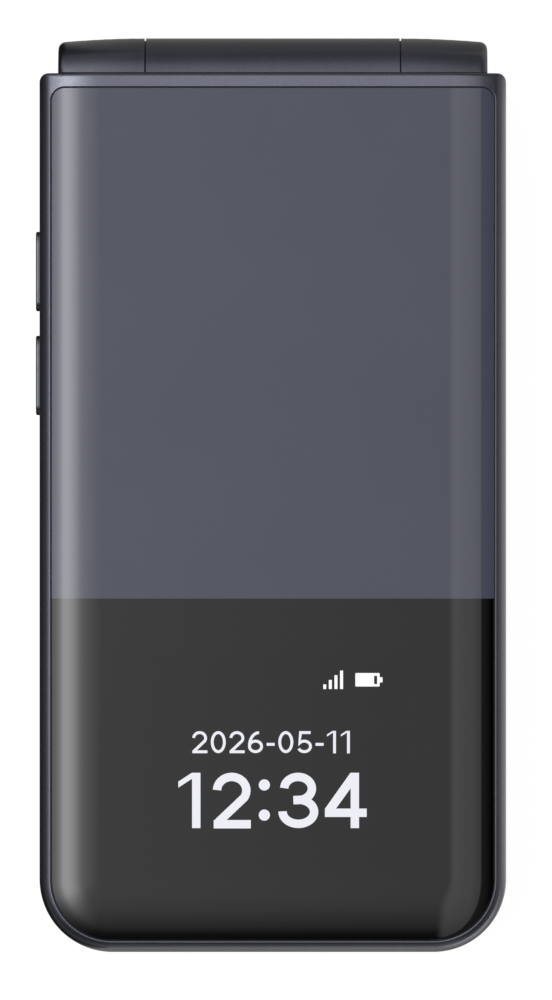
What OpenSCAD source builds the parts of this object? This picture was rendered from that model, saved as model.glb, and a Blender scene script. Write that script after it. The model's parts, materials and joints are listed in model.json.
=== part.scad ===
// Folding mobile phone, closed, lying on its back.
// X runs across the phone, Y towards the hinge, Z up through the lid.
// The origin is the middle of the flat back. All sizes are millimetres.

/* [Body] */
// Width of both halves
body_w = 60.8; // [59:0.2:66]
// Overall length, from the lower end to the back of the hinge barrel
body_l = 119.2; // [118:0.2:126]
// Thickness of the base half, from its back to its rim
base_t = 9.4; // [9.4:0.1:11]
// Thickness of the lid half
lid_t = 7.7; // [7.7:0.1:9]
// Gap between the closed halves
fold_gap = 0.5; // [0.4:0.05:0.8]
// Corner radius at the lower end, seen from the front
corner_r = 9.5; // [9:0.25:11]
// Wall of the casings
wall = 1.3; // [1.1:0.05:1.5]
// Clearance between pieces that fit into each other
slip = 0.05; // [0.04:0.01:0.08]
// Clearance round loose pieces
loose = 0.1; // [0.08:0.01:0.15]

/* [Hinge] */
// Radius of the hinge barrel
barrel_r = 6.4; // [6.1:0.1:6.6]
// Length of the barrel, from ear end to ear end
barrel_l = 56; // [54:0.5:57]
// Length of the lid's middle knuckle
knuckle_l = 33.1; // [31:0.1:35]
// Gap between the knuckle and each ear
knuckle_gap = 0.2; // [0.15:0.05:0.3]
// Gap between the barrel and the pockets that it turns in
barrel_gap = 0.3; // [0.25:0.05:0.4]
// How much the ears narrow towards their ends
ear_taper = 0.45; // [0.2:0.05:0.6]
// How far the lid's end reaches past the hinge axis
lid_overhang = 1.68; // [1.6:0.02:2]
// Radius of the sprung hinge module
module_r = 3.3; // [3:0.1:3.5]
// Length of the sprung hinge module inside the knuckle
module_l = 17.7; // [16.5:0.1:18.2]
// Wall of the hinge module and of the cable bush
module_wall = 0.55; // [0.4:0.05:0.7]
// Across-flats size of the shaft's fixed end
shaft_flat = 4; // [3.4:0.1:4.4]
// How deep the shaft's fixed end sits in its ear
shaft_seat = 5.6; // [4.5:0.1:6.5]
// Radius of the spring wire
spring_wire_r = 0.32; // [0.25:0.01:0.38]
// Turns of the hinge spring
spring_turns = 6.5; // [5:0.5:8]
// Radius of the rolled flat cable
flex_r = 2.2; // [1.9:0.05:2.4]
// Width of the flat cable's tails
flex_w = 4.8; // [4:0.1:5]

/* [Lid] */
// Width of the painted frame beside the cover window
frame_w = 1.46; // [1.2:0.02:1.7]
// Width of the painted frame at the hinge end of the cover window
frame_end_w = 1.76; // [1.5:0.02:2.2]
// Thickness of the cover window in its middle
glass_t = 1.5; // [1.4:0.05:1.6]
// Width of the cover window's curved edge
edge_zone = 6.5; // [5:0.1:7.2]
// How far the cover window falls at its edge
edge_drop = 1; // [0.6:0.05:1]
// Radius of the cover window's upper corners
glass_corner_r = 1.9; // [1.2:0.1:2.4]
// Seam round the cover window
seam = 0.08; // [0.06:0.01:0.12]
// Thickness of the shelf that carries the cover window
shelf_t = 0.6; // [0.5:0.05:0.7]
// Width of the outer display module
outer_display_w = 36.4; // [32:0.2:38]
// Length of the outer display module
outer_display_l = 31; // [28:0.2:33]
// Thickness of the outer display module
outer_display_t = 1.7; // [1.5:0.05:1.8]
// Distance of the outer display's middle from the lower end
outer_display_y = 24.7; // [24:0.1:26]
// Margin beside the inner display window
window_side = 4.4; // [4:0.1:5]
// Distance from the hinge axis to the inner display window
window_high = 12.7; // [12.5:0.1:14]
// Thickness of the inner display window
window_t = 0.8; // [0.7:0.05:0.9]
// How far the inner display window sits below its frame
window_recess = 0.15; // [0.1:0.05:0.2]
// Distance from the lower end to the inner display window
window_low = 8.1; // [8:0.1:9]
// Border between the window's sides and the main display
display_side = 2.5; // [2.2:0.1:4]
// Border between the window's lower edge and the main display
display_low = 6; // [3:0.5:8]
// Border between the window's upper edge and the main display
display_high = 3; // [2:0.5:5]
// Thickness of the main display module
main_display_t = 1.8; // [1.6:0.05:2]
// Distance of the earpiece slot from the lower end
earpiece_y = 4.7; // [4.6:0.05:4.9]
// Length of the earpiece slot
earpiece_slot_l = 11; // [8:0.5:12]
// Width of the earpiece slot
earpiece_slot_w = 1.3; // [1:0.1:1.6]

/* [Keys] */
// Margin between the phone's side and the keys
key_margin = 2.4; // [2.2:0.1:3]
// Gap between neighbouring keys
key_gap = 1; // [0.95:0.05:1.3]
// How far a key travels
key_travel = 0.3; // [0.2:0.05:0.35]
// Corner radius of the keys
key_r = 1.6; // [0.8:0.1:2.4]
// Length of the block with the navigation ring
cluster_l = 39; // [37:0.5:41]
// Width of the navigation ring
ring_w = 24; // [22:0.5:26]
// Corner radius of the navigation ring
ring_r = 7; // [5:0.5:9]
// Width of the key inside the navigation ring
ok_w = 10.8; // [10:0.2:11.4]
// Corner radius of the key inside the navigation ring
ok_r = 4.2; // [3:0.2:4.6]
// Length of the soft keys
soft_l = 19.5; // [17:0.5:21]
// Length of each volume key
side_key_l = 10.4; // [9:0.1:12]
// Height of each volume key
side_key_h = 2.6; // [2.2:0.1:3]
// How far the volume keys stand out
side_key_proud = 0.6; // [0.35:0.01:0.7]
// Distance between the middles of the volume keys
side_key_pitch = 13.6; // [13:0.1:15]
// Distance from the hinge axis to the first volume key
side_key_y = 24; // [23:0.1:25]

/* [Base] */
// Thickness of the battery cover
cover_t = 0.9; // [0.8:0.05:1]
// Side wall of the battery cover
cover_wall = 1; // [0.9:0.05:1.1]
// Height of the battery cover's edge
cover_h = 2.6; // [2.4:0.05:2.7]
// Height of the rounding along the back
back_round_h = 3.4; // [3:0.1:3.8]
// Width of the rounding along the back
back_round_w = 3.5; // [2.5:0.1:4]
// Room beside the battery, from the phone's side
battery_side = 7.4; // [7.2:0.1:10]
// Distance from the hinge axis to the battery's bay
battery_high = 44.9; // [44.5:0.1:48]
// Corner radius of the battery
battery_r = 1.5; // [1:0.1:2.5]
// Thickness of the main board
board_t = 0.8; // [0.7:0.05:0.9]
// Thickness of the key plate
plate_t = 0.8; // [0.7:0.05:0.85]
// Radius of the earphone socket's bore
jack_bore_r = 1.8; // [1.78:0.01:1.85]
// Depth of the earphone socket's bore
jack_depth = 13.4; // [12.5:0.1:14]
// Length of the charging socket
usb_l = 7.3; // [6.8:0.1:7.6]
// Width of the charging socket
usb_w = 9; // [8.9:0.05:9.2]
// Height of the charging socket
usb_h = 3.2; // [3.1:0.05:3.3]
// Radius of the post that a hand strap loops round
strap_post_r = 0.9; // [0.8:0.05:1.1]
// Width of the camera window
camera_window_w = 19; // [17:0.5:20]
// Length of the camera window
camera_window_l = 9; // [8.5:0.1:9.6]
// Side of the camera module
camera_side = 8.6; // [8:0.1:9]
// Slots in the loudspeaker grille
grille_slots = 5; // [3:1:5]

/* [Hidden] */
$fn = 64;

// Overall places
half_w = body_w / 2;
low_y = -body_l / 2;
corner_x = half_w - corner_r;
corner_y = low_y + corner_r;
closed_t = base_t + fold_gap + lid_t;
hinge_y = body_l / 2 - barrel_r;
hinge_z = closed_t / 2;
knuckle_x = knuckle_l / 2;
ear_x = knuckle_x + knuckle_gap;
ear_end_x = barrel_l / 2;
ear_round = 1;
cheek_x = ear_end_x + barrel_gap;
flex_in_ear = 7.2;
flex_in_knuckle = 9.75;
bush_in_ear = 4.1;
bush_in_knuckle = 4.3;
cable_bore_l = 13.8;
swing_lean = 20;
base_tail_drop = 1.75;
lid_tail_rise = 1.65;
flex_base_x = -ear_x - flex_in_ear;
flex_lid_x = -knuckle_x + flex_in_knuckle;
beyond = 20;

// Heights in the lid, from its inner face up
lid_z = base_t + fold_gap;
lid_top_z = closed_t;
window_z = lid_z + window_recess;
main_display_z = window_z + window_t + slip;
lid_split_z = main_display_z + main_display_t + 2 * loose;
bracket_t = 0.3;
bracket_z = lid_split_z + slip;
lid_board_t = 0.6;
lid_board_z = bracket_z + bracket_t + slip;
glass_z = lid_top_z - glass_t;
shelf_z = glass_z - shelf_t;
lid_end_y = hinge_y + lid_overhang;
lid_cavity_y = hinge_y - barrel_r - 1.8;
lid_edge_r = 0.5;
side_round_w = 1.75;
side_round_h = 2.2;
end_edge_r = 0.45;
end_corner_r = 1.2;
outer_display_mid_y = low_y + outer_display_y;
window_y0 = low_y + window_low;
window_y1 = hinge_y - window_high;
window_w = body_w - 2 * window_side;
window_l = window_y1 - window_y0;
window_mid_y = (window_y0 + window_y1) / 2;
main_display_w = window_w - 2 * display_side;
main_display_l = window_l - display_low - display_high;
main_display_mid_y = window_y0 + display_low + main_display_l / 2;
magnet_w = 3;
magnet_l = 8;
magnet_x = (main_display_w / 2 + half_w - wall) / 2;
magnet_y = window_mid_y - 14;
earpiece_w = 12;
earpiece_l = 6;
earpiece_mid_y = low_y + earpiece_y;

// Heights in the base, from its rim down
key_sink = 0.05;
plate_drop = 0.3;
flange_t = 0.45;
flange_w = 0.35;
mat_t = 0.25;
dome_t = 0.25;
key_top_z = base_t - key_sink;
plate_top_z = base_t - plate_drop;
plate_z = plate_top_z - plate_t;
flange_top_z = plate_z - slip;
flange_z = flange_top_z - flange_t;
mat_top_z = flange_z - key_travel - slip;
mat_z = mat_top_z - mat_t;
dome_top_z = mat_z - slip;
board_top_z = dome_top_z - dome_t;
board_z = board_top_z - board_t;
base_split_z = board_z + 0.5;
bay_skin = 0.55;
board_floor_z = board_z - slip;
bay_top_z = board_floor_z - bay_skin;

// Heights in the base, from its back up
deck_z = cover_t + loose;
deck_t = 0.9;
deck_top_z = deck_z + deck_t;
camera_window_z = 0.2;
camera_window_t = 0.8;
lip_inset = cover_wall + loose;
cavity_inset = wall + lip_inset;
cavity_x = half_w - cavity_inset;

// Places along the base
base_end_y = hinge_y - 0.8;
cover_end_y = hinge_y - 2.3;
bay_wall = 1.2;
bay_y0 = low_y + cavity_inset - wall + usb_l + bay_wall - loose;
bay_y1 = hinge_y - battery_high;
bay_mid_y = (bay_y0 + bay_y1) / 2;
battery_w = body_w - 2 * battery_side;
battery_l = bay_y1 - bay_y0 - 4 * loose;
bay_x = battery_w / 2 + 3 * loose;
upper_y0 = bay_y1 + bay_wall;
camera_x = -3.5;
flash_x = 6;
lens_barrel_r = 3.2;
flash_side = 2.4;
flash_hole_r = 1.7;
turret_wall = 2;
camera_y = hinge_y - 16.2;
speaker_x = -(half_w - 11.4);
speaker_y = hinge_y - 17.2;
speaker_w = 14;
speaker_l = 10;
motor_x = half_w - 9.4;
motor_y = hinge_y - 25.2;
jack_y = hinge_y - 15.2;
jack_body = 4.8;
jack_mouth_r = jack_bore_r + 0.2;
jack_z = cover_h + slip + loose + jack_mouth_r;
sim_x = 4;
sim_y = hinge_y - 33.7;
sim_w = 16;
sim_l = 15;
sim_deck_h = 1.25;
shield_h = 1.5;
big_shield = [18, 15];
small_shield = [11, 8];
big_shield_side = 4.4;
small_shield_side = 3.9;
big_shield_y = sim_y + 0.5;
small_shield_y = sim_y - 3;
shield_r = 0.6;
motor_r = 4;
motor_h = 2.7;
contact_w = 9;
side_board_h = 2.6;
side_board_t = 0.3;
side_board_end = 4;
side_board_gap = 0.45;
side_dome_r = 1.2;
usb_z = board_z - usb_h;
microphone_x = 4;
microphone_y = 5;
microphone_r = 0.5;
boss_r = 1.7;
base_screw_low = [half_w - 10.9, low_y + 4.8];
base_screw_high = [12.5, hinge_y - barrel_r - barrel_gap - boss_r - 0.4];
lid_screw_low = [half_w - 7.9, low_y + 4.4];
lid_screw_high = [half_w - 7.9, hinge_y - 10.3];
screw_r = 0.8;
screw_head_r = 1.4;
screw_head_t = 0.9;
driver_w = 1.8;
driver_t = 0.3;
driver_depth = 0.3;
upper_y1 = base_screw_high[1] - boss_r - loose;
strap_x = corner_x + (corner_r - 1.9) * cos(45);
strap_y = corner_y - (corner_r - 1.9) * sin(45);
strap_w = 1.7;
strap_z = (cover_h + base_split_z) / 2;

// Places of the keys
key_low_y = low_y + 8.6;
key_high_y = hinge_y - barrel_r - 5.2;
key_area_w = body_w - 2 * key_margin;
key_w = (key_area_w - 2 * key_gap) / 3;
key_pitch = (key_high_y - key_low_y - cluster_l) / 4;
key_l = key_pitch - key_gap;
hole_gap = 0.12;
flank_w = (key_area_w - ring_w - 2 * key_gap) / 2;
flank_x = (key_area_w - flank_w) / 2;
nav_y = key_high_y - ring_w / 2;
clear_l = cluster_l - ring_w - 2 * key_gap;
clear_y = nav_y - ring_w / 2 - key_gap - clear_l / 2;
soft_y = key_high_y - soft_l / 2;
call_l = cluster_l - soft_l - 2 * key_gap;
call_y = key_high_y - soft_l - key_gap - call_l / 2;
nav_flange_t = 0.3;
nav_flange_z = flange_z - 0.15;
nav_travel = 0.16;
nav_actuator_z = dome_top_z + nav_travel;
nav_dome_r = 9;
side_key_travel = 0.25;
side_key_z = (cover_h + board_z) / 2;
side_flange_h = side_key_h + 0.7;

// ---------------------------------------------------------------- helpers

// A box given by its limits
module block(x0, x1, y0, y1, z0, z1) {
    translate([x0, y0, z0]) cube([x1 - x0, y1 - y0, z1 - z0]);
}

// The points of a quarter turn, from one angle to another
function arc(cx, cy, r, a0, a1, steps) =
    [for (i = [0:steps]) let (a = a0 + (a1 - a0) * i / steps) [cx + r * cos(a), cy + r * sin(a)]];

// A rectangle with round corners, centred
function rounded_points(w, l, r) = concat(
    arc(w / 2 - r, l / 2 - r, r, 0, 90, 6),
    arc(r - w / 2, l / 2 - r, r, 90, 180, 6),
    arc(r - w / 2, r - l / 2, r, 180, 270, 6),
    arc(w / 2 - r, r - l / 2, r, 270, 360, 6));

// A flat plate with round corners, between two heights
module plate(x, y, w, l, r, z0, z1) {
    translate([x, y, z0]) linear_extrude(z1 - z0) polygon(rounded_points(w, l, r));
}

// A round bar along X
module bar(x0, x1, y, z, r) {
    translate([x0, y, z]) rotate([0, 90, 0]) cylinder(h = x1 - x0, r = r);
}

// A round bar along Z
module post(x, y, z0, z1, r) {
    translate([x, y, z0]) cylinder(h = z1 - z0, r = r);
}

// The phone's outline from the front, drawn in by an inset, cut off at y_end
function outline(inset, y_end) = concat(
    [[half_w - inset, y_end], [inset - half_w, y_end]],
    arc(-corner_x, corner_y, corner_r - inset, 180, 270, 12),
    arc(corner_x, corner_y, corner_r - inset, 270, 360, 12));

// A flat plate of that outline
module outline_plate(inset, y_end, z0, z1) {
    translate([0, 0, z0]) linear_extrude(z1 - z0) polygon(outline(inset, y_end));
}

module both_sides() {
    children();
    mirror([1, 0, 0]) children();
}

// A profile of [distance out from the corner's centre, height], carried round the two sides and
// the lower end, with a block between heights z0 and z1 in the middle
module outline_sweep(profile, y_end, z0, z1) {
    block(-corner_x, corner_x, corner_y, y_end, z0, z1);
    both_sides() {
        translate([corner_x, corner_y, 0]) rotate([-90, 0, 0]) mirror([0, 1, 0])
            linear_extrude(y_end - corner_y) polygon(profile);
        translate([corner_x, corner_y, 0]) rotate([0, 0, -90])
            rotate_extrude(angle = 90) polygon(profile);
    }
    translate([corner_x, corner_y, 0]) rotate([0, 0, -90]) rotate([90, 0, 0])
        linear_extrude(2 * corner_x) polygon(profile);
}

// The cover window's outline, grown or shrunk by an inset
function glass_outline(inset) =
    let (w = half_w - frame_w - inset,
         y1 = lid_end_y - frame_end_w - inset,
         r1 = glass_corner_r - inset,
         r0 = corner_r - frame_w - inset)
    concat(arc(w - r1, y1 - r1, r1, 0, 90, 8),
           arc(r1 - w, y1 - r1, r1, 90, 180, 8),
           arc(-corner_x, corner_y, r0, 180, 270, 12),
           arc(corner_x, corner_y, r0, 270, 360, 12));

// Everything turned or cut by the barrel at radius r
module barrel_space(x0, x1, r) {
    bar(x0, x1, hinge_y, hinge_z, r);
}

// The side of the hinge that the lid's cheeks must leave free as they swing down
module swing_space() {
    translate([0, hinge_y, hinge_z]) rotate([-swing_lean, 0, 0])
        block(-beyond * 2, beyond * 2, 0, beyond, -beyond, beyond);
}

// ---------------------------------------------------------------- lid

// The lid's outer face: flat, falling towards the edges, then round into the sides
function lid_profile() =
    let (flat = corner_r - frame_w - edge_zone,
         seam_z = lid_top_z - edge_drop,
         start = acos((side_round_w - frame_w) / side_round_w))
    concat(
        [[0, lid_split_z], [0, lid_top_z]],
        [for (i = [0:6]) [flat + edge_zone * i / 6, lid_top_z - edge_drop * pow(i / 6, 2)]],
        [for (i = [1:7]) let (t = start * (1 - i / 7))
            [corner_r - side_round_w * (1 - cos(t)), seam_z - side_round_h * (sin(start) - sin(t))]],
        [[corner_r, lid_split_z]]);

module lid_skin() {
    difference() {
        outline_sweep(lid_profile(), lid_end_y, lid_split_z, lid_top_z);
        // the edge at the hinge end is rounded
        difference() {
            block(-half_w - 1, half_w + 1, lid_end_y - end_edge_r, lid_end_y + 1,
                  lid_top_z - end_edge_r, lid_top_z + 1);
            bar(-half_w - 2, half_w + 2, lid_end_y - end_edge_r, lid_top_z - end_edge_r, end_edge_r);
        }
        // and so are its two corners
        both_sides() difference() {
            block(half_w - end_corner_r, half_w + 1, lid_end_y - end_corner_r, lid_end_y + 1,
                  lid_split_z - 1, lid_top_z + 1);
            post(half_w - end_corner_r, lid_end_y - end_corner_r, lid_split_z - 2, lid_top_z + 2,
                 end_corner_r);
        }
    }
}

module lid_screw_places() {
    both_sides() {
        translate(lid_screw_low) children();
        translate(lid_screw_high) children();
    }
}

module lid_front_case() {
    color("#3c3e4a") difference() {
        union() {
            difference() {
                lid_skin();
                outline_plate(wall, lid_cavity_y, lid_split_z - 1, shelf_z);
                translate([0, 0, glass_z]) linear_extrude(beyond) polygon(glass_outline(0));
                plate(0, outer_display_mid_y, outer_display_w + 4 * loose, outer_display_l + 4 * loose,
                      1, shelf_z - 1, glass_z + 1);
                barrel_space(-cheek_x, cheek_x, barrel_r + barrel_gap);
                swing_space();
            }
            lid_screw_places() post(0, 0, lid_split_z + loose, shelf_z + shelf_t / 2, boss_r);
        }
        lid_screw_places() post(0, 0, lid_split_z - 1, shelf_z, screw_r + slip);
    }
}

module cover_window() {
    color("#585a66") intersection() {
        outline_sweep(lid_profile(), lid_end_y, lid_split_z, lid_top_z);
        translate([0, 0, glass_z]) linear_extrude(glass_t) polygon(glass_outline(seam));
    }
}

module outer_display() {
    top_z = glass_z - loose;
    color("#161719") {
        plate(0, outer_display_mid_y, outer_display_w, outer_display_l, 0.8,
              top_z - outer_display_t, top_z);
    }
}

module lid_bracket() {
    hole_w = 9;
    hole_l = 11;
    color("#b9bcc0") difference() {
        plate(0, window_mid_y, body_w - 2 * wall - 8 * loose, window_l + 1, 2,
              bracket_z, bracket_z + bracket_t);
        for (sx = [-1, 1], sy = [-1, 0, 1])
            plate(sx * 14, window_mid_y + sy * 24, hole_w, hole_l, 2, bracket_z - 1,
                  bracket_z + bracket_t + 1);
    }
}

module lid_board() {
    y1 = lid_cavity_y - 1.8;
    y0 = outer_display_mid_y + outer_display_l / 2 + 3;
    color("#2f6f55") union() {
        plate(0, (y0 + y1) / 2, main_display_w - 8, y1 - y0, 1.5, lid_board_z, lid_board_z + lid_board_t);
        plate(-7, y1 - 12, 8, 6, 0.4, lid_board_z + lid_board_t / 2, lid_board_z + lid_board_t + 0.8);
        plate(8, y1 - 14, 12, 10, 0.4, lid_board_z + lid_board_t / 2, lid_board_z + lid_board_t + 1);
    }
}

module earpiece() {
    z0 = window_z + window_t + slip;
    color("#8d9096") union() {
        plate(0, earpiece_mid_y, earpiece_w, earpiece_l, 1, z0, lid_split_z - loose);
        plate(0, earpiece_mid_y, earpiece_w - 2, earpiece_l - 1.6, 1, lid_split_z - loose - 0.1,
              lid_split_z + 0.5);
    }
}

module earpiece_mesh() {
    color("#4a4c52")
        plate(0, earpiece_mid_y, earpiece_slot_l - slip, earpiece_slot_w - slip,
              (earpiece_slot_w - slip) / 2 - 0.01, lid_z + 0.35, lid_z + 0.6);
}

module main_display() {
    color("#101114")
        plate(0, main_display_mid_y, main_display_w, main_display_l, 0.8, main_display_z,
              main_display_z + main_display_t);
}

module display_window() {
    color("#0c0d0f")
        plate(0, window_mid_y, window_w, window_l, 2, window_z, window_z + window_t);
}

// The lid's inner case, with the knuckle moulded on
module lid_rear_case() {
    profile = concat([[0, lid_z]],
        arc(corner_r - lid_edge_r, lid_z + lid_edge_r, lid_edge_r, -90, 0, 4),
        [[corner_r, lid_split_z], [0, lid_split_z]]);
    recess = 2 * loose;
    bore_r = module_r + slip;
    color("#34363f") difference() {
        union() {
            difference() {
                outline_sweep(profile, lid_end_y, lid_z, lid_split_z);
                barrel_space(-cheek_x, cheek_x, barrel_r + barrel_gap);
                swing_space();
                both_sides() difference() {
                    block(half_w - end_corner_r, half_w + 1, lid_end_y - end_corner_r, lid_end_y + 1,
                          lid_z - 1, lid_split_z + 1);
                    post(half_w - end_corner_r, lid_end_y - end_corner_r, lid_z - 2, lid_split_z + 2,
                         end_corner_r);
                }
            }
            barrel_space(-knuckle_x, knuckle_x, barrel_r);
            // the neck that joins the knuckle to the case
            block(-knuckle_x, knuckle_x, hinge_y - barrel_r - 1, hinge_y, lid_z, lid_split_z);
        }
        // seats of the display and of its window
        plate(0, window_mid_y, window_w + recess, window_l + recess, 2 + loose, lid_z - 1,
              window_z + window_t + slip / 2);
        plate(0, main_display_mid_y, main_display_w + 2 * recess, main_display_l + 2 * recess, 1,
              lid_z, lid_split_z + 1);
        // earpiece: its seat, and the slot in front of it
        plate(0, earpiece_mid_y, earpiece_w + recess, earpiece_l + recess, 1, window_z + window_t,
              lid_split_z + 1);
        plate(0, earpiece_mid_y, earpiece_slot_l, earpiece_slot_w, earpiece_slot_w / 2 - 0.01,
              lid_z - 1, lid_split_z);
        // seat of the magnet
        plate(magnet_x, magnet_y, magnet_w + recess, magnet_l + recess, 0.4, lid_split_z - 1.7,
              lid_split_z + 1);
        // screws, and the bumpers that plug their holes
        lid_screw_places() {
            post(0, 0, lid_z - 1, lid_z + 0.5 + screw_head_t, screw_head_r + loose);
            post(0, 0, lid_z, lid_split_z + 1, screw_r + loose);
        }
        // bore for the cable bush, bore for the hinge module, and the cable's way into the lid
        barrel_space(-knuckle_x - 1, -knuckle_x + cable_bore_l, bore_r);
        barrel_space(knuckle_x - module_l - 2 * loose, knuckle_x + 1, bore_r);
        block(flex_lid_x - flex_w / 2 - 2 * loose, flex_lid_x + flex_w / 2 + 2 * loose,
              lid_cavity_y - 3.6, hinge_y, lid_z + 0.5, lid_z + 1.05);
        block(flex_lid_x - flex_w / 2 - 2 * loose, flex_lid_x + flex_w / 2 + 2 * loose,
              lid_cavity_y - 3.6, lid_cavity_y, lid_z + 0.5, lid_split_z + 1);
    }
}

// Four soft plugs that cover the lid's screws and keep the halves apart
module lid_bumpers() {
    color("#26272b")
        lid_screw_places() post(0, 0, base_t + loose, lid_z + 0.45, screw_head_r);
}

module screw(z0, head_z, tip_z) {
    post(0, 0, min(z0, head_z), max(z0, head_z), screw_head_r);
    post(0, 0, min(head_z, tip_z), max(head_z, tip_z), screw_r);
}

// The cross that the screwdriver fits
module driver_cross(z0, z1) {
    block(-driver_t / 2, driver_t / 2, -driver_w / 2, driver_w / 2, z0, z1);
    block(-driver_w / 2, driver_w / 2, -driver_t / 2, driver_t / 2, z0, z1);
}

module lid_screws() {
    head_z = lid_z + 0.5;
    color("#5b5d62") lid_screw_places() difference() {
        screw(head_z, head_z + screw_head_t, shelf_z - 0.3);
        driver_cross(lid_z, head_z + driver_depth);
    }
}

module lid_magnet() {
    color("#9a9da3")
        plate(magnet_x, magnet_y, magnet_w, magnet_l, 0.3, lid_split_z - 1.6, lid_split_z - loose);
}

// ---------------------------------------------------------------- hinge module

// Places along the hinge module, from the shaft's end in the ear inwards
housing_x1 = knuckle_x - 0.35;
housing_x0 = knuckle_x - module_l;
housing_end_t = 0.8;
cam_r = module_r - module_wall - slip;
cam_x1 = housing_x1 - loose;
cam_x0 = cam_x1 - 3.9;
ridge_h = 0.75;
follower_x1 = cam_x0 - ridge_h - slip;
follower_x0 = follower_x1 - 3;
rod_r = 0.8;

module hinge_housing() {
    color("#a7a9ad") difference() {
        barrel_space(housing_x0, housing_x1, module_r);
        barrel_space(housing_x0 + housing_end_t, housing_x1 + 1, module_r - module_wall);
    }
}

// One ring of the spring's wire, at a share of its length
function wire_ring(share, x0, x1, coil_r, sides) =
    let (turn = 360 * spring_turns * share)
    [for (i = [0:sides - 1]) let (a = 360 * i / sides, r = coil_r + spring_wire_r * cos(a))
        [x0 + (x1 - x0) * share + spring_wire_r * sin(a),
         hinge_y + r * cos(turn), hinge_z + r * sin(turn)]];

module hinge_spring() {
    sides = 8;
    rings = round(20 * spring_turns);
    coil_r = (rod_r + cam_r) / 2 + 0.1;
    x0 = housing_x0 + housing_end_t + spring_wire_r + slip;
    x1 = follower_x0 - spring_wire_r - slip;
    points = [for (k = [0:rings]) each wire_ring(k / rings, x0, x1, coil_r, sides)];
    skin = [for (k = [0:rings - 1], i = [0:sides - 1]) let (j = (i + 1) % sides)
        each [[k * sides + i, k * sides + j, (k + 1) * sides + j],
              [k * sides + i, (k + 1) * sides + j, (k + 1) * sides + i]]];
    ends = [[for (i = [sides - 1:-1:0]) i], [for (i = [0:sides - 1]) rings * sides + i]];
    color("#8c8e92") polyhedron(points = points, faces = concat(skin, ends), convexity = 10);
}

module hinge_follower() {
    color("#c3a86a") difference() {
        barrel_space(follower_x0, follower_x1, cam_r);
        barrel_space(follower_x0 - 1, follower_x1 + 1, rod_r + slip);
        block(follower_x1 - ridge_h, follower_x1 + 1, hinge_y - cam_r, hinge_y + cam_r,
              hinge_z - 0.8, hinge_z + 0.8);
    }
}

// A round bar with two flats, along X
module flat_bar(x0, x1, r, flat) {
    intersection() {
        barrel_space(x0, x1, r);
        block(x0 - 1, x1 + 1, hinge_y - flat / 2, hinge_y + flat / 2, hinge_z - r - 1, hinge_z + r + 1);
    }
}

shaft_end_r = 2.6;

module hinge_shaft() {
    color("#b4b6ba") union() {
        barrel_space(cam_x0, cam_x1, cam_r);
        intersection() {
            barrel_space(cam_x0 - ridge_h, cam_x0 + 1, cam_r);
            block(cam_x0 - ridge_h, cam_x0 + 1, hinge_y - cam_r, hinge_y + cam_r,
                  hinge_z - 0.7, hinge_z + 0.7);
        }
        barrel_space(housing_x0 + housing_end_t + 2 * loose, cam_x0 + 1, rod_r);
        flat_bar(cam_x1 - 1, ear_x + shaft_seat, shaft_end_r, shaft_flat);
    }
}

bush_x0 = -ear_x - bush_in_ear;
bush_x1 = -knuckle_x + bush_in_knuckle;

module hinge_bush() {
    color("#2c2d31") difference() {
        barrel_space(bush_x0, bush_x1, module_r - slip / 2);
        barrel_space(bush_x0 - 1, bush_x1 + 1, module_r - module_wall);
    }
}

// The flat cable: rolled inside the bush, with a tail into each half
module hinge_flex() {
    roll_x0 = flex_base_x - flex_w / 2;
    roll_x1 = flex_lid_x + flex_w / 2;
    base_tail_z = hinge_z - base_tail_drop;
    lid_tail_z = hinge_z + lid_tail_rise;
    cable_t = 0.2;
    color("#b5803a") union() {
        difference() {
            barrel_space(roll_x0, roll_x1, flex_r);
            barrel_space(roll_x0 - 1, roll_x1 + 1, flex_r - 0.3);
        }
        block(roll_x0, roll_x0 + flex_w, hinge_y - 10.4, hinge_y - flex_r + 1,
              base_tail_z, base_tail_z + cable_t);
        block(roll_x1 - flex_w, roll_x1, lid_cavity_y - 1, hinge_y - flex_r + 1,
              lid_tail_z, lid_tail_z + cable_t);
        block(roll_x1 - flex_w, roll_x1, lid_cavity_y - 1, lid_cavity_y - 1 + cable_t,
              lid_tail_z, lid_board_z - slip);
    }
}

// ---------------------------------------------------------------- base

// The back's rounding, as [distance, height] at an angle up its ellipse
function back_point(a, inset) =
    [corner_r - back_round_w + back_round_w * cos(a) - inset, back_round_h * (1 - sin(a))];
function back_angle(z) = asin((back_round_h - z) / back_round_h);
function back_curve(z0, z1, inset, steps) =
    [for (i = [0:steps]) let (a = back_angle(z0) + (back_angle(z1) - back_angle(z0)) * i / steps)
        back_point(a, inset)];
function reversed(list) = [for (i = [len(list) - 1:-1:0]) list[i]];

module camera_hole(grow, z0, z1) {
    plate((camera_x + flash_x) / 2, camera_y, camera_window_w + grow, camera_window_l + grow,
          (camera_window_l + grow) / 2 - 0.01, z0, z1);
}

module grille(z0, z1) {
    for (i = [0:grille_slots - 1])
        plate(speaker_x, speaker_y + (i - (grille_slots - 1) / 2) * 1.9, 8, 0.9, 0.44, z0, z1);
}

// The back, which pulls off to reach the battery
module battery_cover() {
    profile = concat([[0, 0]], back_curve(0, cover_h, 0, 8),
        reversed(back_curve(cover_t, cover_h, cover_wall, 5)), [[0, cover_t]]);
    color("#2f313b") difference() {
        outline_sweep(profile, cover_end_y, 0, cover_t);
        camera_hole(turret_wall + 4 * loose, -1, cover_t + 1);
        grille(-1, cover_t + 1);
        // the fingernail notch
        plate(-corner_x, low_y, 7, 3, 1, cover_h - 0.7, cover_h + 1);
    }
}

module base_screw_places() {
    both_sides() {
        translate(base_screw_low) children();
        translate(base_screw_high) children();
    }
}

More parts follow.
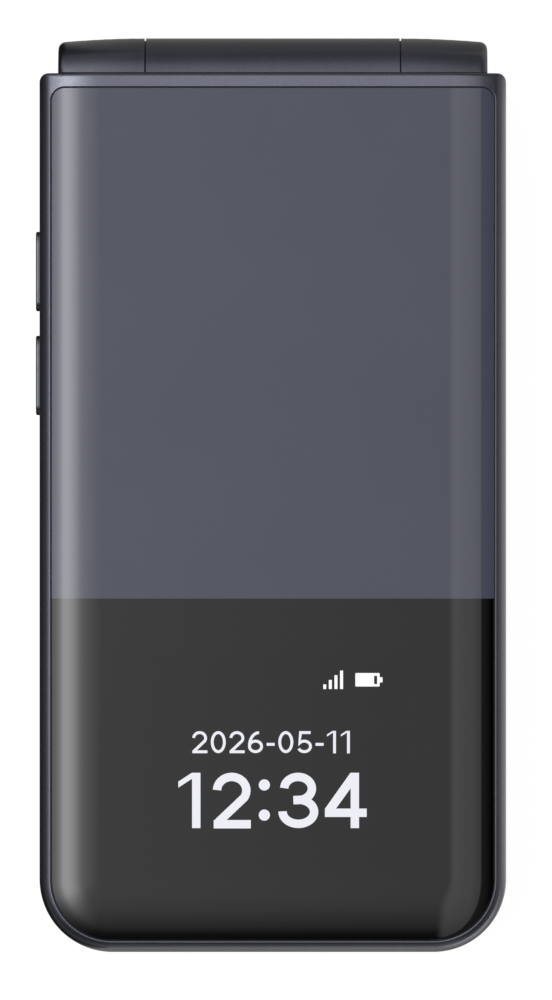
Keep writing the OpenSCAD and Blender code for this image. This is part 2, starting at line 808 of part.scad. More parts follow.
// A groove round a post, open through the corner, for a hand strap's cord
module strap_groove() {
    translate([strap_x, strap_y, strap_z]) rotate_extrude()
        translate([strap_post_r, -strap_w / 2]) square([strap_w, strap_w]);
}

module side_key_places() {
    for (i = [0, 1]) translate([0, hinge_y - side_key_y - i * side_key_pitch, 0]) children();
}

module base_rear_case() {
    profile = concat([[0, deck_z]], back_curve(deck_z, cover_h, lip_inset, 4),
        back_curve(cover_h + slip, back_round_h, 0, 3), [[corner_r, base_split_z], [0, base_split_z]]);
    tail = concat([[0, 0]], back_curve(0, cover_h + slip, 0, 8), [[0, cover_h + slip]]);
    color("#2b2d36") difference() {
        union() {
            outline_sweep(profile, base_end_y, deck_z, base_split_z);
            // the fixed strip behind the battery cover
            difference() {
                outline_sweep(tail, base_end_y, 0, cover_h + slip);
                block(-half_w - 1, half_w + 1, low_y - 1, cover_end_y + loose, -1, cover_h + 1);
            }
            // the turret round the camera window
            camera_hole(turret_wall, camera_window_z, deck_top_z);
        }
        // the board's compartment
        outline_plate(wall, upper_y1 + 1, board_floor_z, base_split_z + 1);
        // the battery's bay, open at the back
        plate(0, bay_mid_y, 2 * bay_x, bay_y1 - bay_y0, battery_r, -1, bay_top_z);
        // hollows beside the battery, at the lower end and under the hinge end
        both_sides() block(bay_x + bay_wall, cavity_x, corner_y, upper_y0, deck_top_z, base_split_z + 1);
        block(-base_screw_low[0] + boss_r + 1, base_screw_low[0] - boss_r - 1,
              low_y + cavity_inset, bay_y0 - bay_wall, deck_top_z, base_split_z + 1);
        block(-cavity_x, cavity_x, upper_y0, upper_y1, deck_top_z, base_split_z + 1);
        // battery contacts, card opening, camera and grille
        block(-contact_w / 2 - loose, contact_w / 2 + loose, bay_y1 - 1, upper_y0 + 1,
              deck_top_z + 0.5, base_split_z + 1);
        plate(sim_x, sim_y, sim_w - 2, sim_l - 2, 1, -1, deck_top_z + 1);
        camera_hole(loose, -1, camera_window_z + camera_window_t + slip);
        post(camera_x, camera_y, -1, deck_top_z + 1, lens_barrel_r + 2 * loose);
        post(flash_x, camera_y, -1, deck_top_z + 1, flash_hole_r);
        grille(-1, deck_top_z + 1);
        // charging socket, earphone socket, volume keys and strap
        plate(0, low_y, usb_w + 2 * loose, 2 * cavity_inset + 1, 0.3, usb_z - loose, base_split_z + 1);
        jack_hole();
        side_key_places() side_key_hole();
        strap_groove();
        // the hinge
        barrel_space(-ear_x, ear_x, barrel_r + barrel_gap);
        barrel_space(-cheek_x, cheek_x, barrel_r + loose);
        // screws
        base_screw_places() {
            post(0, 0, -1, deck_z + 1, screw_head_r + loose);
            post(0, 0, 0, base_split_z + 1, screw_r + loose);
        }
    }
}

// The hole in the right side that the earphone socket's mouth fills
module jack_hole() {
    bar(cavity_x - 1, half_w + 1, jack_y, jack_z, jack_mouth_r + slip);
}

// The hole in the left side that a volume key works in
module side_key_hole() {
    grow = 2 * loose;
    translate([-half_w - 1, 0, side_key_z]) rotate([90, 0, 90])
        linear_extrude(cavity_inset + 2)
            polygon(rounded_points(side_key_l + grow, side_key_h + grow, side_key_h / 2));
}

// The key's hole in the plate and the key itself share one outline
module key_outline(k, grow, z0, z1) {
    plate(k[0], k[1], k[2] + 2 * grow, k[3] + 2 * grow, k[4] + grow, z0, z1);
}

// Each key as [x, y, width, length, corner radius]
function digit_key(column, row) =
    [(column - 1) * (key_w + key_gap), key_low_y + (3.5 - row) * key_pitch - key_gap / 2,
     key_w, key_l, key_r];
digit_keys = [for (row = [0:3], column = [0:2]) digit_key(column, row)];
soft_left = [-flank_x, soft_y, flank_w, soft_l, key_r];
soft_right = [flank_x, soft_y, flank_w, soft_l, key_r];
call_place = [-flank_x, call_y, flank_w, call_l, key_r];
end_place = [flank_x, call_y, flank_w, call_l, key_r];
clear_place = [0, clear_y, ring_w, clear_l, key_r];
ring_place = [0, nav_y, ring_w, ring_w, ring_r];
ok_place = [0, nav_y, ok_w, ok_w, ok_r];
plain_keys = concat(digit_keys, [soft_left, soft_right, call_place, end_place, clear_place]);

module ear(x_sign) {
    length = ear_end_x - ear_x;
    profile = concat([[0, ear_x]],
        [for (i = [0:6]) let (t = i / 6)
            [barrel_r - ear_taper * t * t, ear_x + (length - ear_round) * t]],
        arc(barrel_r - ear_taper - ear_round, ear_end_x - ear_round, ear_round, 0, 90, 6),
        [[0, ear_end_x]]);
    translate([0, hinge_y, hinge_z]) rotate([0, 90 * x_sign, 0]) rotate_extrude() polygon(profile);
}

// The case round the keys, with the hinge's two ears
module base_front_case() {
    profile = concat([[0, base_split_z], [corner_r, base_split_z]],
        arc(corner_r - lid_edge_r, base_t - lid_edge_r, lid_edge_r, 0, 90, 4), [[0, base_t]]);
    color("#34363f") difference() {
        union() {
            difference() {
                outline_sweep(profile, base_end_y, base_split_z, base_t);
                outline_plate(wall, upper_y1 + 2.6, base_split_z - 1, plate_z);
                barrel_space(-ear_x, ear_x, barrel_r + barrel_gap);
                // the keys lie in a shallow bed
                plate(0, (key_low_y + key_high_y) / 2, key_area_w + 0.8,
                      key_high_y - key_low_y + 0.8, key_r + 0.4, plate_top_z, base_t + 1);
            }
            ear(1);
            ear(-1);
            base_screw_places() post(0, 0, base_split_z + loose, plate_z + plate_t / 2, boss_r);
        }
        for (k = plain_keys) key_outline(k, hole_gap, plate_z - 1, base_t + 1);
        key_outline(ring_place, hole_gap + 0.05, plate_z - 1, base_t + 1);
        base_screw_places() post(0, 0, base_split_z - 1, plate_z, screw_r + slip);
        jack_hole();
        // microphone hole
        post(microphone_x, low_y + microphone_y, plate_z - 1, base_t + 1, microphone_r);
        // seat of the shaft, seat of the cable bush, and the cable's way into the base
        flat_bar(ear_x - 1, ear_x + shaft_seat + loose, shaft_end_r + slip / 2, shaft_flat + slip);
        barrel_space(bush_x0 - loose, 0 - knuckle_x, module_r);
        barrel_space(flex_base_x - flex_w / 2 - 2 * loose, bush_x0, module_r - 0.3);
        block(flex_base_x - flex_w / 2 - 2 * loose, flex_base_x + flex_w / 2 + 2 * loose,
              upper_y1 + 1, hinge_y, hinge_z - base_tail_drop - 0.15, hinge_z - base_tail_drop + 0.35);
    }
}

module battery() {
    color("#3a3c40")
        plate(0, bay_mid_y, battery_w, battery_l, battery_r, deck_z, bay_top_z - loose);
}

module main_board() {
    edge = wall + 0.4;
    color("#1f6b4e") difference() {
        union() {
            plate(0, (bay_y0 + upper_y1) / 2, body_w - 2 * edge, upper_y1 - bay_y0, 1.5,
                  board_z, board_top_z);
            plate(0, bay_y0 - 2, 2 * (base_screw_low[0] - boss_r - 1.6), 9, 1, board_z, board_top_z);
        }
        // notch for the earphone socket
        block(half_w - wall - jack_depth - 2, half_w, jack_y - jack_body / 2 - 0.3,
              jack_y + jack_body / 2 + 0.3, board_z - 1, board_top_z + 1);
    }
}

// Metal cans over the chips, on the board's underside
module board_shields() {
    color("#a3a5a9") {
        plate(-(half_w - big_shield_side - big_shield[0] / 2), big_shield_y,
              big_shield[0], big_shield[1], shield_r, board_z - shield_h, board_z);
        plate(half_w - small_shield_side - small_shield[0] / 2, small_shield_y,
              small_shield[0], small_shield[1], shield_r, board_z - shield_h, board_z);
    }
}

module dome_sheet() {
    sheet_t = 0.1;
    color("#c9cbcf") union() {
        plate(0, (key_low_y + key_high_y) / 2, key_area_w, key_high_y - key_low_y, 1,
              board_top_z, board_top_z + sheet_t);
        for (k = concat(plain_keys, [ok_place]))
            post(k[0], k[1], board_top_z + sheet_t / 2, dome_top_z, 2);
        for (a = [0:90:270])
            post(nav_dome_r * cos(a), nav_y + nav_dome_r * sin(a), board_top_z + sheet_t / 2,
                 dome_top_z, 1.6);
    }
}

// The silicone sheet under the keys, open under the navigation ring
module keymat() {
    pad_h = 0.08;
    color("#d8dadc") difference() {
        union() {
            plate(0, (key_low_y + key_high_y) / 2, key_area_w - 0.4, key_high_y - key_low_y - 0.4, 1,
                  mat_z, mat_top_z - pad_h);
            for (k = plain_keys) post(k[0], k[1], mat_z, mat_top_z, 2.4);
        }
        key_outline(ring_place, flange_w + 0.3, mat_z - 1, mat_top_z + 1);
    }
}

module camera_module() {
    barrel_top = deck_top_z + 1.8;
    color("#202124") {
        union() {
            plate(camera_x, camera_y, camera_side, camera_side, 0.5, deck_top_z + loose, board_z - loose);
            post(camera_x, camera_y, deck_z + 0.25, barrel_top, lens_barrel_r);
        }
        plate(flash_x, camera_y, flash_side, flash_side, 0.3, deck_top_z - 0.4, deck_top_z + 0.5);
    }
}

module camera_window() {
    color("#0b0c0e") camera_hole(0, camera_window_z + loose, camera_window_z + camera_window_t);
}

module loudspeaker() {
    height = 3.1;
    color("#3b3d41")
        plate(speaker_x, speaker_y, speaker_w, speaker_l, 1.5, deck_top_z + loose,
              deck_top_z + loose + height);
}

module vibration_motor() {
    color("#a8aaae") post(motor_x, motor_y, board_z - loose - motor_h, board_z - loose, motor_r);
}

// The charging socket: a steel shell with a tongue inside
module usb_port() {
    y0 = low_y + 0.25;
    z_mid = usb_z + usb_h / 2;
    shell_t = 0.3;
    color("#9fa1a6") {
        difference() {
            translate([0, y0 + usb_l, z_mid]) rotate([90, 0, 0]) linear_extrude(usb_l)
                polygon(rounded_points(usb_w, usb_h - 2 * slip, usb_h / 2 - slip - 0.01));
            translate([0, y0 + usb_l - 1, z_mid]) rotate([90, 0, 0]) linear_extrude(usb_l)
                polygon(rounded_points(usb_w - 2 * shell_t, usb_h - 2 * slip - 2 * shell_t,
                                       usb_h / 2 - slip - shell_t - 0.01));
        }
    }
    color("#26272a") block(-3.3, 3.3, y0 + 1.2, y0 + usb_l - 1, z_mid - 0.35, z_mid + 0.35);
}

// The earphone socket, with its mouth flush in the right side
module earphone_jack() {
    x1 = half_w - 0.1;
    x0 = x1 - jack_depth - 1;
    color("#222327") difference() {
        union() {
            block(x0, cavity_x - loose, jack_y - jack_body / 2, jack_y + jack_body / 2,
                  deck_top_z + loose, board_top_z - loose);
            bar(cavity_x - 1, x1, jack_y, jack_z, jack_mouth_r);
        }
        bar(x1 - jack_depth, x1 + 1, jack_y, jack_z, jack_bore_r);
    }
}

module battery_contacts() {
    y0 = bay_y1 - 0.15;
    y1 = upper_y0 + 0.8;
    color("#c9a24a") difference() {
        block(-contact_w / 2, contact_w / 2, y0, y1, deck_top_z + 0.7, deck_top_z + 3.2);
        for (x = [-1.5, 1.5]) block(x - 0.3, x + 0.3, y0 - 1, y0 + 0.5, deck_z, deck_top_z + 4);
    }
}

// A two-deck socket for a SIM card and a memory card
module sim_socket() {
    slot_x = sim_w / 2 - 1.6;
    slot_h = sim_deck_h - 0.4;
    color("#b0b2b6") difference() {
        plate(sim_x, sim_y, sim_w, sim_l, 0.4, board_z - 2 * sim_deck_h - 0.1, board_z);
        for (i = [0, 1]) let (z0 = board_z - (i + 1) * sim_deck_h + 0.1)
            block(sim_x - slot_x, sim_x + slot_x, sim_y - sim_l / 2 - 1, sim_y + sim_l / 2 - 2.5,
                  z0, z0 + slot_h);
    }
}

// Places across the volume keys: cap, flange and nub, then the small board behind them
side_flange_x = -cavity_x + slip;
side_flange_t = 0.4;
side_nub_h = 0.25;
side_board_x = side_flange_x + side_flange_t + side_nub_h + side_key_travel + side_board_gap;

module side_key_board() {
    y1 = hinge_y - side_key_y;
    y0 = y1 - side_key_pitch;
    color("#8a6a2f") union() {
        block(side_board_x, side_board_x + side_board_t, y0 - side_board_end, y1 + side_board_end,
              side_key_z - side_board_h / 2, side_key_z + side_board_h / 2);
        side_key_places() bar(side_board_x - side_board_t, side_board_x + 0.1, 0, side_key_z, side_dome_r);
    }
}

module side_key(i) {
    color("#3c3e4a") translate([0, hinge_y - side_key_y - i * side_key_pitch, side_key_z]) union() {
        translate([-half_w - side_key_proud, 0, 0]) rotate([90, 0, 90])
            linear_extrude(side_key_proud + half_w - cavity_x + 0.2)
                polygon(rounded_points(side_key_l, side_key_h, side_key_h / 2 - 0.01));
        translate([side_flange_x, 0, 0]) rotate([90, 0, 90]) linear_extrude(side_flange_t)
            polygon(rounded_points(side_key_l + 1.2, side_flange_h, 0.6));
        bar(side_flange_x, side_flange_x + side_flange_t + side_nub_h, 0, 0, 0.8);
    }
}

module base_screws() {
    head_z = deck_z + loose;
    color("#5b5d62") base_screw_places() difference() {
        screw(head_z, head_z + screw_head_t, plate_z - 0.4);
        driver_cross(deck_z - 1, head_z + driver_depth);
    }
}

// ---------------------------------------------------------------- keys

// A key cap with the flange that keeps it in the plate
module plain_key(k) {
    color("#3a3c45") union() {
        key_outline(k, 0, flange_z, key_top_z);
        key_outline(k, flange_w, flange_z, flange_top_z);
    }
}

// The rocker under the navigation ring, which tips it towards and away from the hinge
module nav_actuator() {
    ring_t = 0.15;
    inner_r = ok_w / 2 + 1.3;
    outer_r = inner_r + 0.8;
    arm_w = 2;
    color("#d8dadc") difference() {
        union() {
            post(0, nav_y, nav_actuator_z, nav_actuator_z + ring_t, outer_r);
            for (s = [-1, 1]) {
                block(-arm_w / 2, arm_w / 2, nav_y + s * nav_dome_r - 1.4, nav_y + s * nav_dome_r + 1.4,
                      nav_actuator_z, nav_flange_z - slip);
                block(-arm_w / 2, arm_w / 2, nav_y + s * nav_dome_r - 2, nav_y + s * nav_dome_r,
                      nav_actuator_z, nav_actuator_z + ring_t);
            }
        }
        post(0, nav_y, nav_actuator_z - 1, nav_actuator_z + 1, inner_r);
    }
}

// The navigation ring, which tips left and right on its rocker
module nav_ring() {
    ok_gap = 0.3;
    color("#3a3c45") difference() {
        union() {
            key_outline(ring_place, 0, nav_flange_z, key_top_z);
            key_outline(ring_place, flange_w, nav_flange_z, nav_flange_z + nav_flange_t);
            // nubs over the two side domes
            for (s = [-1, 1]) post(s * nav_dome_r, nav_y, nav_actuator_z, nav_flange_z + 0.1, 1);
        }
        key_outline(ok_place, ok_gap, nav_flange_z - 1, base_t + 1);
        key_outline(ok_place, flange_w + 2 * ok_gap, nav_flange_z - 1, flange_top_z + loose);
    }
}

module ok_key() {
    color("#3a3c45") union() {
        key_outline(ok_place, 0, flange_z + 0.1, key_top_z);
        key_outline(ok_place, flange_w + 0.2, flange_z, flange_top_z - slip);
        post(0, nav_y, dome_top_z + key_travel + slip, flange_z + 0.1, 1);
    }
}

lid_front_case();
cover_window();
outer_display();
lid_bracket();
lid_board();
earpiece();
earpiece_mesh();
main_display();
display_window();
lid_rear_case();
lid_bumpers();
lid_screws();
lid_magnet();
hinge_housing();
hinge_spring();
hinge_follower();
base_front_case();
base_rear_case();
battery();
main_board();
board_shields();
dome_sheet();
keymat();
camera_module();
camera_window();
loudspeaker();
vibration_motor();
usb_port();
earphone_jack();
battery_contacts();
sim_socket();
side_key_board();
hinge_shaft();
hinge_bush();
hinge_flex();
base_screws();
battery_cover();
side_key(0);  // volume_up_key
side_key(1);  // volume_down_key
nav_actuator();
nav_ring();
ok_key();
plain_key(soft_left);  // soft_key_left
plain_key(soft_right);  // soft_key_right
plain_key(call_place);  // call_key
plain_key(clear_place);  // clear_key
plain_key(end_place);  // end_key
plain_key(digit_key(0, 0));  // key_1
plain_key(digit_key(1, 0));  // key_2
plain_key(digit_key(2, 0));  // key_3
plain_key(digit_key(0, 1));  // key_4
plain_key(digit_key(1, 1));  // key_5
plain_key(digit_key(2, 1));  // key_6
plain_key(digit_key(0, 2));  // key_7
plain_key(digit_key(1, 2));  // key_8
plain_key(digit_key(2, 2));  // key_9
plain_key(digit_key(0, 3));  // key_star
plain_key(digit_key(1, 3));  // key_0
plain_key(digit_key(2, 3));  // key_hash
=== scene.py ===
import json

import bmesh
import bpy
import numpy as np
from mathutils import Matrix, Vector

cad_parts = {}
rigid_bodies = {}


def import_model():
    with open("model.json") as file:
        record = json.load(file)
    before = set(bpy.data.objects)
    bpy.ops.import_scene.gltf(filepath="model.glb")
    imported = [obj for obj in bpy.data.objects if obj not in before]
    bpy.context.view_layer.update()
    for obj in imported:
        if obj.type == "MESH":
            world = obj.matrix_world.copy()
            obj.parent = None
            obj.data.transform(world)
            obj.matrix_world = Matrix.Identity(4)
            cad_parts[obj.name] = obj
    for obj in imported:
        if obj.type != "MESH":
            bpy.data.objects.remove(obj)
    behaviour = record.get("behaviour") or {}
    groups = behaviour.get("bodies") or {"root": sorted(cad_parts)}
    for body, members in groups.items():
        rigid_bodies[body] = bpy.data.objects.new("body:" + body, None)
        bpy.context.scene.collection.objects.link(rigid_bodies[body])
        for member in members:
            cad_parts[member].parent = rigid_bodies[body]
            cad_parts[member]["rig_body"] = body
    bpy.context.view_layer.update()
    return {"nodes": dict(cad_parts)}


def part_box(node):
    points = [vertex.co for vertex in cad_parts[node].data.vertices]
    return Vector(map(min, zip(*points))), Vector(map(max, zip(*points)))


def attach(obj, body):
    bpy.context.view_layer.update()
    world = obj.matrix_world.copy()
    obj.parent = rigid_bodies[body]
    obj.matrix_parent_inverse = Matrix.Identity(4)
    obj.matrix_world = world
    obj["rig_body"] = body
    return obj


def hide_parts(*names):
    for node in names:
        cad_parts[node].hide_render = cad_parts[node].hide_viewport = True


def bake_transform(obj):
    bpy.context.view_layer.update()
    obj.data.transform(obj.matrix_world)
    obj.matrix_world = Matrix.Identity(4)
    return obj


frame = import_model()

# A folding keypad phone, closed and lying on its back. X runs across it, Y towards the hinge, Z up.
# Shapes are worked out in millimetres in the part's own frame, and become metres in new_mesh().
MM = 0.001


def box_mm(node):
    """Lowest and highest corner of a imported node, in millimetres."""
    low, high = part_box(node)
    return np.array(low) / MM, np.array(high) / MM


# ------------ sizes, in millimetres

LID_LOW, LID_HIGH = box_mm("lid_front_case")
HALF_W = LID_HIGH[0]
LOW_Y, LID_END_Y = LID_LOW[1], LID_HIGH[1]
LID_SPLIT_Z, LID_TOP_Z = LID_LOW[2], LID_HIGH[2]
GLASS_LOW_Z = box_mm("cover_window")[0][2]

BARREL_R = 6.4
HINGE_Y = box_mm("lid_rear_case")[1][1] - BARREL_R
HINGE_Z = LID_TOP_Z / 2
BARREL_GAP = 0.3            # between the barrel and the lid's pocket for it
BARREL_HALF = 27.9
CHEEK_X = 28.3              # the pocket's end walls
CHEEK_LEAN = 20
KNUCKLE_X = 16.55
KNUCKLE_GAP = 0.2
WASHER_R = (4.2, BARREL_R - 0.3)
WASHER_GAP = 0.03           # on either side of a washer

CORNER_R = 9.5              # the lid's lower corners
CORNER_X = HALF_W - CORNER_R
CORNER_Y = LOW_Y + CORNER_R
END_CORNER_R = 1.2          # its corners at the hinge
END_EDGE_R = 0.45
EDGE_ZONE = 6.5             # the lid's face falls by EDGE_DROP over this width
EDGE_DROP = 1.0
FRAME_W = 1.39
FRAME_END_W = 1.71
ROUND_W = 1.75              # half axes of the ellipse that rounds the frame's sides
ROUND_H = 2.2
LIP_W = 0.075               # a flatter lip along the frame's inner edge
LIP_RISE = 0.0035
BEVEL_W = 0.06              # and a bevel that leans in to the seam
BEVEL_DROP = 0.028
SEAM = 0.21
GASKET_SINK = 0.1
GLASS_BEVEL = 0.05
GLASS_CORNER_R = 1.9
INNER_END_X = HALF_W - FRAME_W - GLASS_CORNER_R         # centre of the frame's inner corner at the hinge
INNER_END_Y = LID_END_Y - FRAME_END_W - GLASS_CORNER_R
# where the black strip that paints the shade of the slit under the lid's end stands, and its radii about the
# hinge
SHADOW_STRIP_Y = (LID_END_Y - 0.06, LID_END_Y + 0.17)
SHADOW_STRIP_R = (BARREL_R + 0.04, BARREL_R + 0.14)
PARTING_EDGE = 0.12         # the small edge at the parting line
WALL = 1.3
SHELF_W = 4.5
SHELF_Z = 15.5
POCKET_Z = 16.05

SPLIT_Y = -13.53            # where the window's blue half meets its black half
DISPLAY_X = (-16.7, 16.7)   # the clock display, seen through the window
DISPLAY_Y = (-49.1, -20.9)

CLOCK = (-12.3, -43.4, 7.2, 1.09)       # where the digits start and stand, their height and their stroke
DATE = (-10.5, -33.67, 2.92, 0.37)

# ------------ camera

CAMERA_LENS = 640
SENSOR = 36
VIEW_HEIGHT = 130.145       # the height of the view, at the lid's face
VIEW_CENTRE = (0.414, -0.70)
CAMERA_DISTANCE = VIEW_HEIGHT * CAMERA_LENS / SENSOR

camera_data = bpy.data.cameras.new("camera")
camera_data.lens = CAMERA_LENS
camera_data.sensor_width = SENSOR
camera_data.clip_start, camera_data.clip_end = 0.05, 20
camera = bpy.data.objects.new("camera", camera_data)
camera.location = np.array([*VIEW_CENTRE, LID_TOP_Z + CAMERA_DISTANCE]) * MM
bpy.context.scene.collection.objects.link(camera)
bpy.context.scene.camera = camera
bpy.context.scene.view_settings.view_transform = "Standard"


# ------------ meshes

def merge_points(mesh, distance, new=False):
    """Merges points less than distance apart, in metres. A new mesh also loses the faces that this empties,
    and has the rest turned outwards."""
    tidy = bmesh.new()
    tidy.from_mesh(mesh)
    bmesh.ops.remove_doubles(tidy, verts=tidy.verts, dist=distance)
    if new:
        bmesh.ops.dissolve_degenerate(tidy, edges=tidy.edges, dist=distance)
        bmesh.ops.recalc_face_normals(tidy, faces=tidy.faces)
    tidy.to_mesh(mesh)
    tidy.free()


def new_mesh(name, patches):
    """A mesh of patches of (points in mm, faces), merged where they meet."""
    start = np.cumsum([0] + [len(points) for points, faces in patches])
    points = np.concatenate([points for points, faces in patches]) * MM
    faces = [[i + first for i in face] for first, (_, group) in zip(start.tolist(), patches) for face in group]
    mesh = bpy.data.meshes.new(name)
    mesh.from_pydata(points.tolist(), [], faces)
    merge_points(mesh, 2e-7, True)
    return mesh


def piece(name, shape, material, body, replaces=(), sharp=35):
    """Makes one object from patches or a mesh, shaded smooth but for edges that bend by more than sharp
    degrees. It rides on its body, or on none."""
    mesh = shape if isinstance(shape, bpy.types.Mesh) else new_mesh(name, shape)
    mesh.shade_smooth()
    mesh.set_sharp_from_angle(angle=np.radians(sharp))
    mesh.materials.clear()
    mesh.materials.append(material)
    made = bpy.data.objects.new(name, mesh)
    bpy.context.scene.collection.objects.link(made)
    if body:
        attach(made, body)
    if replaces:
        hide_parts(*replaces)
    return made


def smooth_copy(node, sharp=28):
    """A merged and painted copy of a packed case, so that its round faces shade smoothly. It stands for it."""
    mesh = frame["nodes"][node].data.copy()
    merge_points(mesh, 1e-6)
    for name in ("custom_normal", "sharp_edge"):
        if name in mesh.attributes:
            mesh.attributes.remove(mesh.attributes[name])
    piece(node + "_finished", mesh, case_paint, frame["nodes"][node]["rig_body"], (node,), sharp)
    mesh.normals_split_custom_set(weighed_normals(mesh, sharp).tolist())


def weighed_normals(mesh, sharp):
    """A normal for each corner of each face: the sum of area times normal of the faces round that point which
    bend away from the corner's own face by less than sharp degrees. So the roundings take up the bend."""
    def read(things, name, kind, *width):
        values = np.empty((len(things), *width), kind)
        things.foreach_get(name, values.ravel())
        return values

    normal, area = read(mesh.polygons, "normal", np.float32, 3), read(mesh.polygons, "area", np.float32)
    point = read(mesh.loops, "vertex_index", np.int32)
    face = np.repeat(np.arange(len(area)), read(mesh.polygons, "loop_total", np.int32))
    order = np.argsort(point, kind="stable")
    rank = np.arange(len(point)) - np.searchsorted(point[order], point[order])
    around = np.full((len(mesh.vertices), rank.max() + 1), -1)
    around[point[order], rank] = face[order]
    total = np.zeros((len(point), 3))
    for neighbour in around.T:
        other = neighbour[point]
        near = (other >= 0) & ((normal[face] * normal[other]).sum(1) > np.cos(np.radians(sharp)))
        total += normal[other] * (near * area[other])[:, None]
    return total / np.linalg.norm(total, axis=1)[:, None]


def grid_faces(rows, columns, wrap_rows=False, wrap_columns=False):
    """The quads of a grid: each point with its neighbours in its own row and in the next one."""
    index = np.arange(rows * columns).reshape(rows, columns)
    index = np.pad(index, ((0, wrap_rows), (0, wrap_columns)), "wrap")
    here, above = index[:-1], index[1:]
    return np.stack([here[:, :-1], here[:, 1:], above[:, 1:], above[:, :-1]], -1).reshape(-1, 4).tolist()


def loft(loops, wrap=False):
    """A closed skin through loops, a list of loops with as many points [x, y, z] each. It is capped at both
    ends, or wraps round from the last loop to the first."""
    loops = np.array(loops)
    rows, columns = loops.shape[:2]
    faces = grid_faces(rows, columns, wrap, True)
    if not wrap:
        faces += [list(range(columns)), list(range((rows - 1) * columns, rows * columns))]
    return loops.reshape(-1, 3), faces


def at_height(loop, z):
    """A plan loop lifted to height z, a number or one for each point."""
    return np.column_stack([loop, np.broadcast_to(z, len(loop))])


def at_x(x, loop):
    """A loop of [y, z] set at x."""
    return np.column_stack([np.full(len(loop), x), loop])


def stack(rows, wrap=False):
    """A loft through rows of (plan loop, height)."""
    return loft([at_height(*row) for row in rows], wrap)


def circle(points):
    """Points round a circle of radius 1."""
    turn = np.radians(np.arange(points) * 360 / points)
    return np.stack([np.cos(turn), np.sin(turn)], -1)


def arc(x, y, rx, ry, start, end, points=20):
    """Points along an ellipse about (x, y), from one angle to another in degrees."""
    a = np.radians(np.linspace(start, end, points))
    return np.stack([x + rx * np.cos(a), y + ry * np.sin(a)], -1)


def revolve(x, y, profile, points=48):
    """A closed skin turned about a line along Z: profile is (radius, z) from one end to the other."""
    return stack([([x, y] + r * circle(points), z) for r, z in profile])


def round_loop(x, y, half_w, half_l, r, steps):
    """Points round a rectangle with round corners: each corner's centre plus r times its quarter of a turn."""
    turn = np.radians(np.concatenate([np.linspace(a, a + 90, steps) for a in (0, 90, 180, 270)]))
    side_x = np.repeat([1, -1, -1, 1], steps) * (half_w - r)
    side_y = np.repeat([1, 1, -1, -1], steps) * (half_l - r)
    return np.stack([x + side_x + r * np.cos(turn), y + side_y + r * np.sin(turn)], -1)


def plan(x, half_w, y0, y1, r_low, r_high, grow, rows=18, columns=25, corner_rows=8):
    """A grid over a rectangle with round corners, as two arrays of x and y. Each row's half width is the
    outline's at its y, and its points stand at sines of evenly spaced angles, closer at the ends."""
    half_w, y0, y1, r_low, r_high = half_w + grow, y0 - grow, y1 + grow, r_low + grow, r_high + grow
    low, high = np.radians(np.linspace(90, 0, corner_rows)), np.radians(np.linspace(0, 90, corner_rows))
    middle = np.linspace(y0 + r_low, y1 - r_high, rows + 2)[1:-1]
    y = np.concatenate([y0 + r_low * (1 - np.sin(low)), middle, y1 - r_high * (1 - np.sin(high))])
    half = np.concatenate([half_w - r_low * (1 - np.cos(low)), np.full(rows, half_w),
                           half_w - r_high * (1 - np.cos(high))])
    share = np.sin(np.radians(np.linspace(-90, 90, columns)))
    return x + np.outer(half, share), np.repeat(y[:, None], columns, axis=1)


def slab(outline, height, skirt, bevel=0.08):
    """A closed plate. outline(grow) gives its plan grid, height(x, y) its top, which the bevel draws in by as
    much as it goes down; skirt lists how far out and how high its wall then goes; its underside is flat."""
    def rim(grid):
        return np.concatenate([grid[0], grid[1:, -1], grid[-1, -2::-1], grid[-2:0:-1, 0]])

    x, y = outline(-bevel)
    top = np.stack([x, y, height(x, y)], -1)
    x, y = outline(0)
    band = [rim(top), rim(np.stack([x, y, height(x, y) - bevel], -1))]
    for grow, z in skirt:
        x, y = outline(grow)
        under = np.stack([x, y, np.full_like(x, z)], -1)
        band.append(rim(under))
    faces = grid_faces(*top.shape[:2])
    return [(top.reshape(-1, 3), faces),
            (np.concatenate(band), grid_faces(len(band), len(band[0]), wrap_columns=True)),
            (under.reshape(-1, 3), faces)]


# ------------ materials

def linear(colour, level=1.0):
    """An sRGB hex colour as linear red, green, blue and alpha, times a level."""
    c = np.array([int(colour[i:i + 2], 16) for i in (1, 3, 5)]) / 255
    c = np.where(c <= 0.04045, c / 12.92, ((c + 0.055) / 1.055) ** 2.4) * level
    return (*c.tolist(), 1.0)


